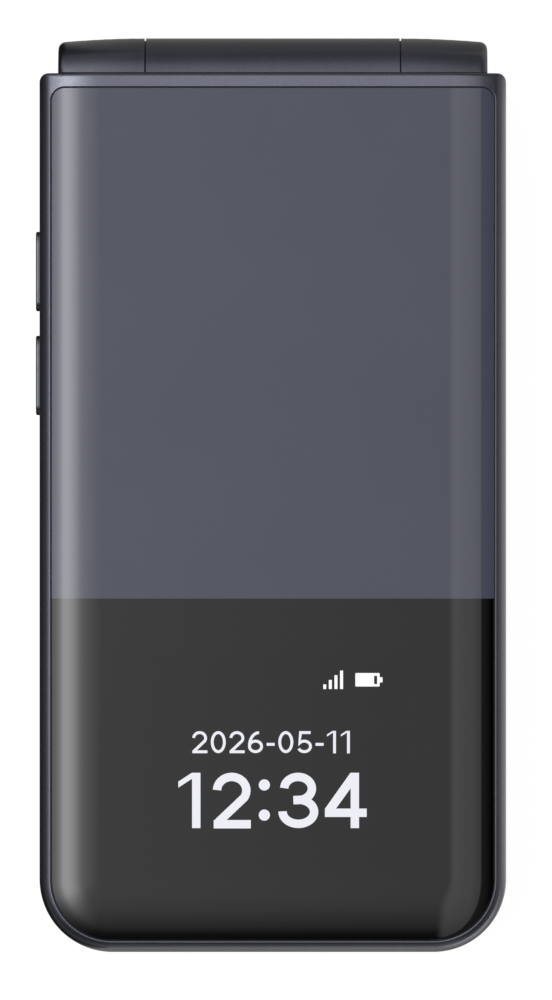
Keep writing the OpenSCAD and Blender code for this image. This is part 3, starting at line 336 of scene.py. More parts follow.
class Look:
    """The node tree of a world or a material in the making."""

    def __init__(self, owner):
        owner.use_nodes = True
        self.tree = owner.node_tree
        self.tree.nodes.clear()

    def add(self, kind, inputs=(), **settings):
        """Adds a shader node with these properties. inputs gives each socket, by name or number, a value or
        another node's output."""
        node = self.tree.nodes.new("ShaderNode" + kind)
        for key, value in settings.items():
            setattr(node, key, value)
        for key, value in dict(inputs).items():
            if isinstance(value, bpy.types.NodeSocket):
                self.tree.links.new(value, node.inputs[key])
            else:
                node.inputs[key].default_value = value
        return node

    def sum(self, operation, *values):
        """One sum on numbers or outputs."""
        return self.add("Math", enumerate(values), operation=operation).outputs[0]

    def times(self, first, *others):
        """The product of numbers or outputs."""
        for other in others:
            first = self.sum("MULTIPLY", first, other)
        return first

    def vector(self, operation, inputs):
        """One sum on vectors."""
        return self.add("VectorMath", inputs, operation=operation).outputs

    def between(self, factor, low, high, at=(0.3, 0.7)):
        """A number that goes from low to high as factor goes through at."""
        return self.add("MapRange", {"Value": factor, "From Min": at[0], "From Max": at[1],
                                     "To Min": low, "To Max": high}).outputs["Result"]

    def blend(self, factor, a, b):
        """The colour from a to b at factor. a and b are linear colours or outputs."""
        return self.add("Mix", {0: factor, 6: a, 7: b}, data_type="RGBA").outputs[2]

    def falloff(self, angle, stops):
        """A level read from stops of (degrees or mm, level), with straight lines between them."""
        first, last = stops[0][0], stops[-1][0]
        peak = max(level for _, level in stops)
        way = self.add("MapRange", {"Value": angle, "From Min": first, "From Max": last}).outputs["Result"]
        ramp = self.add("ValToRGB", {"Fac": way})
        elements = ramp.color_ramp.elements
        while len(elements) < len(stops):
            elements.new(0.5)
        for element, (degrees, level) in zip(elements, stops):
            element.position = (degrees - first) / (last - first)
            element.color = (level / peak,) * 3 + (1,)
        return self.times(ramp.outputs["Color"], peak)

    def lamp(self, *ways):
        """The product of falloffs, each along its own way."""
        return self.times(*[self.falloff(way, stops) for way, stops in ways])

    def warm(self, level):
        """A level as warm light."""
        return self.vector("SCALE", {0: WARM, "Scale": level})[0]

    def mix(self, factor, first, second):
        """The surface from one shader node to another at factor."""
        return self.add("MixShader", {0: factor, 1: first.outputs[0], 2: second.outputs[0]}).outputs[0]

    def rays(self):
        """The light path's outputs, and 1 for what the camera sees directly or through clear pieces."""
        path = self.add("LightPath").outputs
        return path, self.sum("MAXIMUM", path["Is Camera Ray"], path["Is Transmission Ray"])


class Finish(Look):
    """A material in the making, with one Principled shader. place is its Object coordinates."""

    def __init__(self, name, inputs=()):
        self.material = bpy.data.materials.new(name)
        super().__init__(self.material)
        self.shader = self.add("BsdfPrincipled", inputs)
        self.output = self.add("OutputMaterial", {"Surface": self.shader.outputs["BSDF"]})
        self.place = self.add("TexCoord").outputs["Object"]

    def set(self, socket, value):
        """Links an output to one of the shader's sockets."""
        self.tree.links.new(value, self.shader.inputs[socket])

    def noise(self, size_mm, detail=2.0, roughness=0.5, stretch=None, rotation=(0, 0, 0)):
        """Noise whose blobs are about size_mm across, or longer where stretch is less than 1."""
        place = self.place
        if stretch:
            place = self.add("Mapping", {"Vector": place, "Rotation": rotation, "Scale": stretch}).outputs[0]
        return self.add("TexNoise", {"Vector": place, "Scale": 1 / (size_mm * MM), "Detail": detail,
                                     "Roughness": roughness}).outputs["Fac"]

    def waves(self, pitch_mm, **settings):
        """Stripes pitch_mm apart."""
        inputs = {"Vector": self.place, "Scale": 0.1 / (pitch_mm * MM)}
        return self.add("TexWave", inputs, **settings).outputs["Fac"]

    def tint(self, factor, low, high, socket="Base Color"):
        """The colour from low to high at factor."""
        self.set(socket, self.blend(factor, low, high))

    def shades(self, factor, colour, low, high):
        """The base colour: low to high times an sRGB hex colour at factor."""
        self.tint(factor, linear(colour, low), linear(colour, high))

    def rough(self, factor, low, high, at=(0.3, 0.7)):
        self.set("Roughness", self.between(factor, low, high, at))

    def bump(self, height, depth_mm, strength):
        """Relief: height from 0 to 1, depth_mm deep."""
        relief = self.add("Bump", {"Strength": strength, "Distance": depth_mm * MM, "Height": height})
        self.set("Normal", relief.outputs["Normal"])

    def inside(self, x_range, y_range, soft_mm):
        """1 inside a rectangle in plan, in mm, falling to 0 over soft_mm."""
        factors = []
        for way, (low, high) in zip(self.add("SeparateXYZ", {0: self.place}).outputs, (x_range, y_range)):
            middle, half = (low + high) / 2 * MM, (high - low) / 2 * MM
            away = self.sum("ABSOLUTE", self.sum("SUBTRACT", way, middle))
            factors.append(self.between(away, 1, 0, (half - soft_mm * MM / 2, half + soft_mm * MM / 2)))
        return self.times(*factors)

    def rings(self, x, y, radii, soft=0.03):
        """1 within a radius of a point in plan, for each radius in mm, falling to 0 over soft mm."""
        offset = self.vector("SUBTRACT", {0: self.place, 1: (x * MM, y * MM, 0)})[0]
        away = self.vector("LENGTH", {0: self.vector("MULTIPLY", {0: offset, 1: (1, 1, 0)})[0]})["Value"]
        return [self.between(away, 1, 0, ((r - soft) * MM, (r + soft) * MM)) for r in radii]


def metallic_paint(name, colour):
    """Sprayed metallic paint under a clear coat: aluminium flakes, about 0.15 mm as drawn, make the colour
    glitter faintly, while the coat mirrors the studio sharply and whiter at a slant. Its orange peel is about
    1 mm across."""
    look = Finish(name, {"Metallic": 1.0, "Coat Weight": 0.5, "Coat IOR": 1.5, "Coat Roughness": 0.06})
    flakes = look.add("TexVoronoi", {"Vector": look.place, "Scale": 1 / (0.15 * MM)}).outputs["Color"]
    grey = look.add("SeparateColor", {"Color": flakes}).outputs[0]
    level = look.sum("ADD", look.between(grey, -0.08, 0.08, (0, 1)), look.between(look.noise(14), -0.04, 0.04))
    look.shades(look.sum("ADD", look.times(level, 2.5), 0.5), colour, 0.8, 1.2)
    look.rough(look.noise(0.4), 0.29, 0.37)
    look.bump(look.noise(1.0, 1.0), 0.003, 0.4)
    return look.material


def moulded_plastic(name, colour, roughness=0.5, grain_mm=0.25, depth_mm=0.006):
    """Moulded ABS: the spark-eroded mould leaves a fine grain, so it is matt, with soft highlights that
    break up close to."""
    look = Finish(name, {"IOR": 1.52})
    grain = look.noise(grain_mm, 3.0, 0.6)
    look.shades(look.between(look.noise(9), 0, 1), colour, 0.92, 1.08)
    look.rough(grain, roughness - 0.06, roughness + 0.06)
    look.bump(grain, depth_mm, 0.6)
    return look.material


def machined_metal(name, colour, roughness, line_mm, stretch=(0.03, 1, 1)):
    """Pressed or turned metal: fine drawing lines along one direction stretch its highlights."""
    look = Finish(name, {"Metallic": 1.0})
    lines = look.noise(line_mm, 3.0, stretch=stretch)
    look.shades(lines, colour, 0.85, 1.1)
    look.rough(lines, roughness - 0.08, roughness + 0.1)
    return look.material


def soft_rubber(name, colour):
    """Silicone rubber: matt and slightly dusty, paler where the light grazes it."""
    look = Finish(name, {"IOR": 1.41, "Sheen Weight": 0.15})
    dust = look.noise(1.2, 4.0)
    look.shades(look.between(dust, 0, 1), colour, 0.9, 1.12)
    look.rough(dust, 0.7, 0.83)
    return look.material


def board_laminate(name, colour):
    """Glass-epoxy board under solder resist: even green with the faint square weave of its glass cloth,
    0.5 mm between threads."""
    look = Finish(name, {"IOR": 1.5})
    weave = look.times(*[look.waves(0.5, bands_direction=d) for d in "XY"])
    look.shades(weave, colour, 0.85, 1.1)
    look.rough(weave, 0.3, 0.4, (0, 1))
    return look.material


def cover_window_finish():
    """Hard-coated polycarbonate, painted on its back: slate blue above, smoked black below where the clock
    display shines through. Smooth as glass, so that it mirrors the studio, with faint wiping marks."""
    look = Finish("back_painted_polycarbonate", {"IOR": 1.5})
    y = look.add("SeparateXYZ", {0: look.place}).outputs[1]
    blue_half = look.between(y, 0, 1, ((SPLIT_Y - 0.02) * MM, (SPLIT_Y + 0.02) * MM))
    blue = look.blend(look.between(look.noise(18), 0, 1), BLUE_LOW, BLUE_HIGH)
    black = look.blend(look.inside(DISPLAY_X, DISPLAY_Y, 1.5), BLACK_PAINT, BLACK_DISPLAY)
    look.tint(blue_half, black, blue)
    look.rough(look.noise(2.5, 4.0, stretch=(0.15, 1, 1), rotation=(0, 0, 0.5)), 0.035, 0.06, (0.4, 0.8))
    return look.material


def lit_sign(name, colour, level):
    """Light of a display's pixels behind the window: even, with the fine grid of the pixels, 0.1 mm."""
    look = Finish(name, {"Base Color": (0, 0, 0, 1), "Roughness": 0.05, "Emission Strength": level})
    look.tint(look.noise(0.1, 0.0), linear(colour, 0.97), linear(colour), "Emission Color")
    return look.material


BLUE_LOW, BLUE_HIGH = (0.0705, 0.0770, 0.1165, 1), (0.0750, 0.0815, 0.1225, 1)
BLACK_PAINT = (0.0012, 0.0012, 0.0012, 1)
BLACK_DISPLAY = (0.0002, 0.0002, 0.0003, 1)

case_paint = metallic_paint("navy_metallic_paint", "#5c5e6a")
gasket_black = soft_rubber("gasket_black", "#1d1f29")
clock_light = lit_sign("clock_light", "#eff0f8", 0.96)
icon_light = lit_sign("icon_light", "#ffffff", 1.0)


# ------------ lid

def way_out(x, y):
    """How far a point is from the rectangle between the lower corners' centres."""
    return np.hypot(np.maximum(np.abs(x) - CORNER_X, 0), np.maximum(CORNER_Y - y, 0))


def lid_height(x, y):
    """Height of the lid's face: flat, then falling by EDGE_DROP as the square of the way across EDGE_ZONE."""
    way = np.clip((way_out(x, y) - (CORNER_R - FRAME_W - EDGE_ZONE)) / EDGE_ZONE, 0, 1)
    return LID_TOP_Z - EDGE_DROP * way ** 2


def frame_height(x, y):
    """Height of the frame's face: the lid's face less an ellipse of ROUND_W by ROUND_H towards the sides,
    and a round edge of END_EDGE_R towards the hinge."""
    to_side = np.clip(CORNER_R - way_out(x, y), 0, FRAME_W)
    ellipse = lambda d: ROUND_H * np.sqrt(1 - (1 - d / ROUND_W) ** 2)
    to_end = np.clip(LID_END_Y - y, 0, END_EDGE_R)
    end_drop = END_EDGE_R - np.sqrt(END_EDGE_R ** 2 - (END_EDGE_R - to_end) ** 2)
    return lid_height(x, y) - (ellipse(FRAME_W) - ellipse(to_side)) - end_drop


def window_plan(grow):
    """The cover window's plan grid, a seam inside the frame."""
    inset = FRAME_W + SEAM
    return plan(0, HALF_W - inset, LOW_Y + inset, LID_END_Y - FRAME_END_W - SEAM, CORNER_R - inset,
                GLASS_CORNER_R - SEAM, grow, rows=110, columns=141, corner_rows=24)


piece("cover_window_glass", slab(window_plan, lid_height, [(0, GLASS_LOW_Z)], GLASS_BEVEL),
      cover_window_finish(), "lid", ["cover_window"])


def frame_columns():
    """Two matching loops round the lid, the frame's inner edge and its outer one, with how much each point
    belongs to the hinge end, and a 1 for those whose wall ends at the barrel's pocket."""
    def half_loop(inset, y, r, end_x):
        """The right half: lower corner, side, corner at the hinge, and the hinge end at y."""
        low_r = CORNER_R - inset
        side_y = CORNER_Y + np.linspace(0, 1, 60) * (y - r - CORNER_Y)
        side = np.column_stack([np.full(60, HALF_W - inset), side_y])
        return np.concatenate([arc(CORNER_X, CORNER_Y, low_r, low_r, 270, 360, 40), side[1:-1],
                               arc(HALF_W - inset - r, y - r, r, r, 0, 90, 14),
                               np.column_stack([end_x, np.full(len(end_x), y)])])

    # the hinge end's points stand where the face bends, and twice where the barrel's pocket ends
    share = np.concatenate([np.linspace(1, 0.72, 14), np.linspace(0.7, 0, 8)])
    inner = half_loop(FRAME_W, LID_END_Y - FRAME_END_W, GLASS_CORNER_R, np.append(1, share) * INNER_END_X)
    outer = half_loop(0, LID_END_Y, END_CORNER_R, np.append([CHEEK_X, CHEEK_X - 0.02], share[1:] * CHEEK_X))
    turn = np.linspace(0, 1, 14)
    end_share, pocket = np.zeros((2, len(inner)))
    end_share[-len(share) - 15:] = [*turn * turn * (3 - 2 * turn), *np.ones(len(share) + 1)]
    pocket[-len(share):] = 1
    half = np.column_stack([inner, outer, end_share, pocket])
    whole = np.concatenate([half, half[::-1] * [-1, 1, -1, 1, 1, 1]])
    return whole[:, :2], whole[:, 2:4], whole[:, 4], whole[:, 5]


def outward(loop):
    """Unit steps straight out of the frame's inner edge: away from its round corners' centres and from the
    lines between them."""
    x, y = loop.T
    centre_x = np.where(y > INNER_END_Y, INNER_END_X, CORNER_X)
    away = np.stack([x - np.clip(x, -centre_x, centre_x), y - np.clip(y, CORNER_Y, INNER_END_Y)], -1)
    return away / np.linalg.norm(away, axis=1)[:, None]


def lid_frame():
    """The painted frame as a closed ring. Its points stand closer together where frame_height bends: near the
    side's edge by the ellipse's angle, and at the hinge end by the round edge's, with corners in between. Its
    inner edge has a lip, LIP_RISE higher over LIP_W, and a bevel that drops by BEVEL_DROP over BEVEL_W towards
    the seam. Below, the wall goes down to the parting line, or to the barrel's pocket, and back up inside to
    the glass's shelf."""
    inner, outer, end_share, pocket = frame_columns()
    steps = 16
    t = np.arccos(1 - FRAME_W / ROUND_W) * (1 - np.linspace(0, 1, steps))
    side_out = 1 - ROUND_W * (1 - np.cos(t)) / FRAME_W
    q = np.radians(90) * (1 - np.linspace(0, 1, steps - 5))
    end_out = np.concatenate([np.linspace(0, 1 - END_EDGE_R / FRAME_END_W, 6)[:-1],
                              1 - END_EDGE_R * (1 - np.cos(q)) / FRAME_END_W])
    w = end_share[:, None]
    out = (1 - w) * side_out + w * end_out
    across = inner[:, None] + out[..., None] * (outer - inner)[:, None]
    section = np.concatenate([across, frame_height(across[..., 0], across[..., 1])[..., None]], -1)

    pocket_z = HINGE_Z + np.sqrt((BARREL_R + BARREL_GAP) ** 2 - (LID_END_Y - HINGE_Y) ** 2)
    wall_z = np.where(pocket == 1, pocket_z, LID_SPLIT_Z)
    wall_top = section[:, -1, 2]
    inwards = lambda width: outer + (inner - outer) * (width / FRAME_W)

    def wall_row(share, z_lift, width):
        """A loop share of the way down the wall. Beside the barrel it leans back by CHEEK_LEAN."""
        z = wall_top + (wall_z - wall_top) * share + z_lift
        x, y = inwards(width).T
        return np.column_stack([x, np.minimum(y, HINGE_Y + np.tan(np.radians(CHEEK_LEAN)) * (z - HINGE_Z)), z])

    lip, bevel = inner + outward(inner) * LIP_W, inner - outward(inner) * BEVEL_W
    lip_z = frame_height(*lip.T)
    face = inner + (lip - inner) * 1.2
    rows = [at_height(inner, lip_z + LIP_RISE), at_height(lip, lip_z), at_height(face, frame_height(*face.T))]
    rows += [section[:, k] for k in range(1, steps)]
    rows += [wall_row(0.25, 0, 0), wall_row(0.5, 0, 0), wall_row(1, PARTING_EDGE, 0), wall_row(1, 0, 0.1)]
    rows += [at_height(inwards(width), np.maximum(z, wall_z))
             for width, z in ((WALL, 0), (WALL, SHELF_Z), (SHELF_W, SHELF_Z), (SHELF_W, POCKET_Z))]
    rows += [at_height(bevel, np.maximum(POCKET_Z, wall_z)), at_height(bevel, lip_z + LIP_RISE - BEVEL_DROP)]
    return loft(rows, wrap=True)


piece("lid_frame", [lid_frame()], case_paint, "lid", ["lid_front_case"], 10.5)
smooth_copy("lid_rear_case")


def window_gasket():
    """The black adhesive in the seam between the frame and the window, sunk below both."""
    edge = frame_columns()[0]
    step = -outward(edge)
    near, far = edge + step * BEVEL_W, edge + step * (SEAM + 0.02)
    high = lid_height(*near.T) - GASKET_SINK
    near = near - step * 0.005
    return stack([(near, SHELF_Z + 0.2), (near, high), (far, high), (far, SHELF_Z + 0.2)], wrap=True)


def barrel_seal():
    """A thin black strip under the lid's end, just clear of the barrel, that paints the shade of the slit
    between them: two arcs about the hinge's axis, joined."""
    y = np.linspace(*SHADOW_STRIP_Y, 6)
    low, high = [np.stack([y, HINGE_Z + np.sqrt(r ** 2 - (y - HINGE_Y) ** 2)], -1) for r in SHADOW_STRIP_R]
    return loft([at_x(x, np.concatenate([low, high[::-1]])) for x in (-BARREL_HALF, BARREL_HALF)])


def hinge_washer(side):
    """A ring turned about the hinge's axis, in the gap between the knuckle and an ear."""
    near, far = side * (KNUCKLE_X + WASHER_GAP), side * (KNUCKLE_X + KNUCKLE_GAP - WASHER_GAP)
    section = (near, WASHER_R[0]), (near, WASHER_R[1]), (far, WASHER_R[1]), (far, WASHER_R[0])
    return loft([at_x(x, [HINGE_Y, HINGE_Z] + r * circle(96)) for x, r in section], wrap=True)


piece("window_gasket", [window_gasket()], gasket_black, "lid")
# painted shadow: a black strip in the slit between the lid's end and the barrel
piece("barrel_seal", [barrel_seal()], gasket_black, "lid")
for name, side in (("left", -1), ("right", 1)):
    piece("hinge_washer_" + name, [hinge_washer(side)], gasket_black, "base")


# ------------ clock display

def signs(pen):
    """Plain digits and signs in shares of the digit's height, drawn with a pen so wide: (room to the left,
    width, room to the right, strokes, plates). A stroke is the middle line of the pen, a plate an outline."""
    flag_low, foot, stem = 0.84 - 0.72 * pen, 1.3 * pen - 0.005, 0.4 - pen / 2
    flag = [(0, 0.84), (0, flag_low), (stem, min(flag_low + 0.653 * stem, 0.99)), (stem, 1), (0.245, 1)]
    slope = [(-0.005, 0.349), (foot, 0.349), (0.536, 0.349 + (0.536 - foot) * 1.387), (0.536, 1), (0.4565, 1)]
    bowl = lambda y, rx, ry: arc(0.345, y, rx, ry, 90, 450, 40)
    join = lambda *paths: np.concatenate(paths)
    ray = 0.28 * circle(12)[[3, 1, 5]]
    return {
        "0": (0.07, 0.69, 0.07, [arc(0.345, 0.5, 0.27, 0.425, 90, 450, 48)]),
        "1": (0.07, 0.40, 0.15, [[(stem, 0), (stem, 1)]], flag),
        "2": (0.08, 0.68, 0.07, [
            join(arc(0.335, 0.68, 0.265, 0.245, 178, -32, 28), [(0.085, 0.1)]), [(0.01, 0.07), (0.68, 0.07)]]),
        "3": (0.07, 0.72, 0.065, [
            join(arc(0.355, 0.715, 0.25, 0.21, 178, -75, 28), [(0.27, 0.505)]),
            join([(0.27, 0.505)], arc(0.36, 0.295, 0.285, 0.218, 80, -182, 30))]),
        "4": (0.06, 0.75, 0.08, [[(-0.005, 0.277), (0.75, 0.277)], [(0.536, 0), (0.536, 1)]], slope),
        "5": (0.07, 0.69, 0.07, [
            join([(0.62, 0.925), (0.17, 0.925), (0.125, 0.45)], arc(0.34, 0.31, 0.275, 0.235, 132, -155, 28))]),
        "6": (0.07, 0.69, 0.07, [bowl(0.31, 0.27, 0.235), arc(0.515, 0.34, 0.44, 0.585, 182, 92)]),
        "7": (0.07, 0.66, 0.07, [[(0.03, 0.925), (0.61, 0.925), (0.25, 0)]]),
        "8": (0.07, 0.69, 0.07, [bowl(0.715, 0.225, 0.21), bowl(0.29, 0.27, 0.215)]),
        "9": (0.07, 0.69, 0.07, [bowl(0.69, 0.27, 0.235), arc(0.175, 0.66, 0.44, 0.585, 2, -88)]),
        ":": (0.07, 0.21, 0.08, [arc(0.105, y, 0.025, 0.025, 0, 360, 24) for y in (0.235, 0.78)]),
        "-": (0.08, 0.36, 0.08, [[(0, 0.4), (0.36, 0.4)]]),
        "*": (0.07, 0.60, 0.07, [[(0.3 - x, 0.5 - y), (0.3 + x, 0.5 + y)] for x, y in ray]),
        "#": (0.07, 0.70, 0.07, [[(0.20, 0.05), (0.28, 0.95)], [(0.44, 0.05), (0.52, 0.95)],
                                 [(0.05, 0.33), (0.65, 0.33)], [(0.07, 0.67), (0.67, 0.67)]]),
    }


def stroke(path, width, height):
    """A flat bar along a path: each point moved both ways along the line that halves its bend, by half the
    width over the cosine of half the bend, on top of height(x, y). Inside a closed path, which turns to the
    left, it stops short of the middle."""
    closed = np.allclose(path[0], path[-1])
    if closed:
        path = path[:-1]
    ahead, behind = np.roll(path, -1, 0) - path, path - np.roll(path, 1, 0)
    if not closed:
        ahead[-1], behind[0] = behind[-1], ahead[0]
    quarter = lambda v: np.stack([-v[:, 1], v[:, 0]], -1) / np.linalg.norm(v, axis=1)[:, None]
    a, b = quarter(ahead), quarter(behind)
    side = a + b
    side /= np.linalg.norm(side, axis=1)[:, None]
    reach = width / 2 / np.maximum((side * a).sum(1), 0.45)
    inwards = np.minimum(reach, np.linalg.norm(path - path.mean(0), axis=1) * 0.95) if closed else reach
    left, right = path + side * inwards[:, None], path - side * reach[:, None]
    corners = [at_height(edge, height(*edge.T) + lift) for edge, lift in
               ((left, SIGN_LIFT), (right, SIGN_LIFT), (right, -SIGN_LIFT), (left, -SIGN_LIFT))]
    return loft(np.stack(corners, 1), wrap=closed)


def plate(outline, height):
    """A flat plate with a convex outline, on top of height(x, y)."""
    z = height(*outline.T)
    return stack([(outline, z - SIGN_LIFT), (outline, z + SIGN_LIFT)])


def lettering(text, x, y, size, width, height):
    """The strokes of a line of digits whose first one starts at x and stands on y."""
    table = signs(width / size)
    patches, at = [], x - table[text[0]][0] * size
    for sign in text:
        before, wide, after, strokes, *plates = table[sign]
        at += before * size
        place = lambda path: np.array(path) * size + [at, y]
        patches += [stroke(place(path), width, height) for path in strokes]
        patches += [plate(place(outline), height) for outline in plates]
        at += (wide + after) * size
    return patches


def bar(x0, x1, y0, y1, r=0.02):
    """A lit bar on the lid's face with slightly round corners."""
    return plate(round_loop((x0 + x1) / 2, (y0 + y1) / 2, (x1 - x0) / 2, (y1 - y0) / 2, r, 4), lid_height)


SIGN_LIFT = 0.02
BAR_X, BAR_W, BAR_PITCH, BAR_LOW_Y = 6.56, 0.39, 0.73, -25.3
BAR_HEIGHTS = (0.6, 1.18, 1.8, 2.4)
CELL_X, CELL_Y = (10.74, 13.9), (-24.97, -23.22)        # the battery sign, and its slot that isn't lit
SLOT_X, SLOT_Y = (13.18, 13.58), (-24.66, -23.58)
BRIDGE_X = (SLOT_X[0] - 0.05, SLOT_X[1] + 0.05)

signal = [bar(BAR_X + i * BAR_PITCH, BAR_X + i * BAR_PITCH + BAR_W, BAR_LOW_Y, BAR_LOW_Y + tall)
          for i, tall in enumerate(BAR_HEIGHTS)]
cell = [bar(CELL_X[0], SLOT_X[0], *CELL_Y, 0.12), bar(SLOT_X[1], CELL_X[1], *CELL_Y, 0.1),
        bar(*BRIDGE_X, CELL_Y[0], SLOT_Y[0]), bar(*BRIDGE_X, SLOT_Y[1], CELL_Y[1]),
        bar(CELL_X[1] - 0.02, CELL_X[1] + 0.38, -24.43, -23.76, 0.05)]
for name, patches, light in (
        ("clock_digits", lettering("12:34", *CLOCK, lid_height), clock_light),
        ("date_digits", lettering("2026-05-11", *DATE, lid_height), clock_light),
        ("signal_bars", signal, icon_light), ("battery_sign", cell, icon_light)):
    piece(name, patches, light, "lid")


# ------------ studio

# The studio, in degrees. CEILING is a big soft panel overhead with round corners: its level by the share of
# the way from straight up to its edge, which is so far away on each side. LEFT_LIGHT stands beyond it on the
# left, BACK_LIGHT, which is weaker, at the back on the left. RIGHT_PANEL brightens the ceiling's right part,
# ends sharply at its edge with a faint glow, and fades towards the back. AROUND is what the walls give, less
# towards the left.
CEILING = [(0, 1), (0.07, 1), (0.233, 0.94), (0.397, 0.85), (0.524, 0.7), (0.65, 0.58), (0.75, 0.46),
           (0.84, 0.29), (0.9, 0.14), (0.96, 0.08), (1.2, 0)]
CEILING_TILT = [(-6, 1.16), (-0.45, 1.14), (0.45, 0.92), (6, 0.9)]
EDGE_LEFT, EDGE_RIGHT, EDGE_FRONT, EDGE_BACK = 33, 25.3, 33, 70
LEFT_LIGHT = [(0, 0), (1.6, 0.15), (6, 0.48), (8.2, 0.75), (10.2, 0.98), (12, 1.25), (14.4, 1.95), (18.6, 4.5),
              (22.6, 6.4), (24.4, 6.65), (26, 6.6), (27.4, 5.3), (28.7, 4.1), (31.4, 2.75), (34.1, 2.1),
              (40, 1.3), (46, 0.8), (56, 0.5), (68, 0.32), (80, 0.2), (90, 0.12), (110, 0.03), (180, 0)]
LEFT_TURN = [(0, 1), (10, 1), (20, 0.88), (30, 0.52), (40, 0.27), (50, 0.12), (60, 0.05), (72, 0), (90, 0)]
BACK_LIGHT = [(5, 0), (7, 0.25), (9, 0.7), (12, 1.3), (16, 1.5), (30, 1.5), (60, 1), (90, 0.6), (180, 0)]
BACK_ALONG = [(28, 0), (38, 1), (54, 0.42), (66, 0.2), (80, 0.15), (90, 0.3)]
RIGHT_PANEL = [(2.0, 0), (3.2, 0.12), (4.4, 0.38), (6.2, 0.7), (8, 0.78), (14, 0.8), (18, 0.93), (26, 0.96),
               (28, 0.93), (29.4, 0.72), (30.8, 0.4), (32.1, 0.1), (33.5, 0)]
RIGHT_GLOW = 0.15
RIGHT_ALONG = [(16, 1), (38, 0)]
AROUND = [(0, 0), (33, 0), (38, 0.04), (45, 0.2), (55, 0.45), (70, 0.56), (95, 0.5), (180, 0.5)]
WARM = (1.0, 0.985, 0.9)
AROUND_TURN = [(0, 0), (40, 0.15), (90, 0.55), (140, 0.9), (180, 1)]
AROUND_ALONG = [(-90, 1.7), (-74, 1.5), (-62, 0.9), (-50, 0.3), (-25, 0.4), (0, 1), (40, 0.55), (90, 0.45)]


def studio():
    """Soft light from above, set by the direction that a ray leaves in. What the camera sees behind the
    object, and what shows through clear pieces, is plain white."""
    world = bpy.data.worlds.new("soft_studio")
    bpy.context.scene.world = world
    look = Look(world)
    x, y, z = look.add("SeparateXYZ", {0: look.add("TexCoord").outputs["Generated"]}).outputs
    turn = lambda operation, *values: look.times(look.sum(operation, *values), 180 / np.pi)
    across, along, from_top = turn("ARCTAN2", x, z), turn("ARCSINE", y), turn("ARCCOSINE", z)
    from_left = turn("ARCTAN2", look.sum("ABSOLUTE", y), look.times(x, -1.0))

    def share_of(angle, low_edge, high_edge):
        low = look.sum("DIVIDE", look.sum("MAXIMUM", look.times(angle, -1.0), 0.0), low_edge)
        high = look.sum("DIVIDE", look.sum("MAXIMUM", angle, 0.0), high_edge)
        return look.sum("POWER", look.sum("ADD", low, high), 2.5)

    way = look.sum("POWER", look.sum("ADD", share_of(across, EDGE_LEFT, EDGE_RIGHT),
                                     share_of(along, EDGE_FRONT, EDGE_BACK)), 0.4)
    ceiling = look.lamp((way, CEILING), (across, CEILING_TILT))
    left = look.lamp((from_top, LEFT_LIGHT), (from_left, LEFT_TURN))
    back = look.lamp((look.times(across, -1.0), BACK_LIGHT), (along, BACK_ALONG))
    right = look.times(look.lamp((across, RIGHT_PANEL), (along, RIGHT_ALONG)),
                       look.between(way, 1, RIGHT_GLOW, (0.985, 1.01)))
    around = look.lamp((from_left, AROUND_TURN), (along, AROUND_ALONG), (from_top, AROUND))
    panels = look.sum("ADD", look.sum("ADD", ceiling, left), look.sum("ADD", right, back))
    lit = look.add("Background", {"Color": look.vector("ADD", {0: look.warm(around), 1: panels})[0]})
    white = look.add("Background", {"Color": (1, 1, 1, 1)})
    look.add("OutputWorld", {"Surface": look.mix(look.rays()[1], lit, white)})


FLOOR_SIZE = 6000
FLOOR_Z = -0.05
FLOOR_WHITE = 1.12
# painted light and shade that gloss sees on the table, by x and y in mm: dark on the left, bright further out
# on the right, and darker close to the object's sides and ends as painted shadow
FLOOR_PAINTED_LIGHT_ACROSS = [(-120, 0.2), (-84, 0.15), (-48, 0.06), (-30.5, 0.05), (-27, 0.7), (-18, 0.55), (18, 0.6),
                (30, 0.5), (35, 0.5), (40, 0.85), (60, 1.0), (120, 1.0)]
FLOOR_PAINTED_LIGHT_ALONG = [(-140, 2.1), (-107, 1.5), (-86, 1.3), (-77, 1.05), (-70, 0.65), (-64, 0.45), (-50, 1), (50, 1),
               (60, 0.5), (200, 0.5)]


def table_top():
    """A pale table. It shades as matt white card; the camera sees mostly even white with a share of the lit
    card, so that the object's shadow stays; in gloss it shows painted light and shade by the place in
    millimetres: dark on the left, bright further out on the right, and painted shadow close to the object's
    sides and ends."""
    look = Finish("white_card", {"Roughness": 0.9, "Specular IOR Level": 0.0})
    look.tint(look.noise(4), (0.80, 0.80, 0.80, 1), (0.82, 0.82, 0.82, 1))
    x, y, _ = look.add("SeparateXYZ", {0: look.place}).outputs
    # painted light and shade on the table, seen only in gloss
    grey = look.lamp((look.times(x, 1 / MM), FLOOR_PAINTED_LIGHT_ACROSS), (look.times(y, 1 / MM), FLOOR_PAINTED_LIGHT_ALONG))
    path, seen = look.rays()
    level = look.blend(path["Is Glossy Ray"], (FLOOR_WHITE,) * 3 + (1,), look.warm(grey))
    factor = look.sum("MAXIMUM", look.times(seen, 0.85), path["Is Glossy Ray"])
    mixed = look.mix(factor, look.shader, look.add("Emission", {"Color": level}))
    look.tree.links.new(mixed, look.output.inputs["Surface"])
    corners = np.array([(-1, -1), (1, -1), (1, 1), (-1, 1)]) * FLOOR_SIZE / 2
    floor = piece("table_top", [(at_height(corners, FLOOR_Z), [(0, 1, 2, 3)])], look.material, None)


studio()
table_top()

# ------------ keys

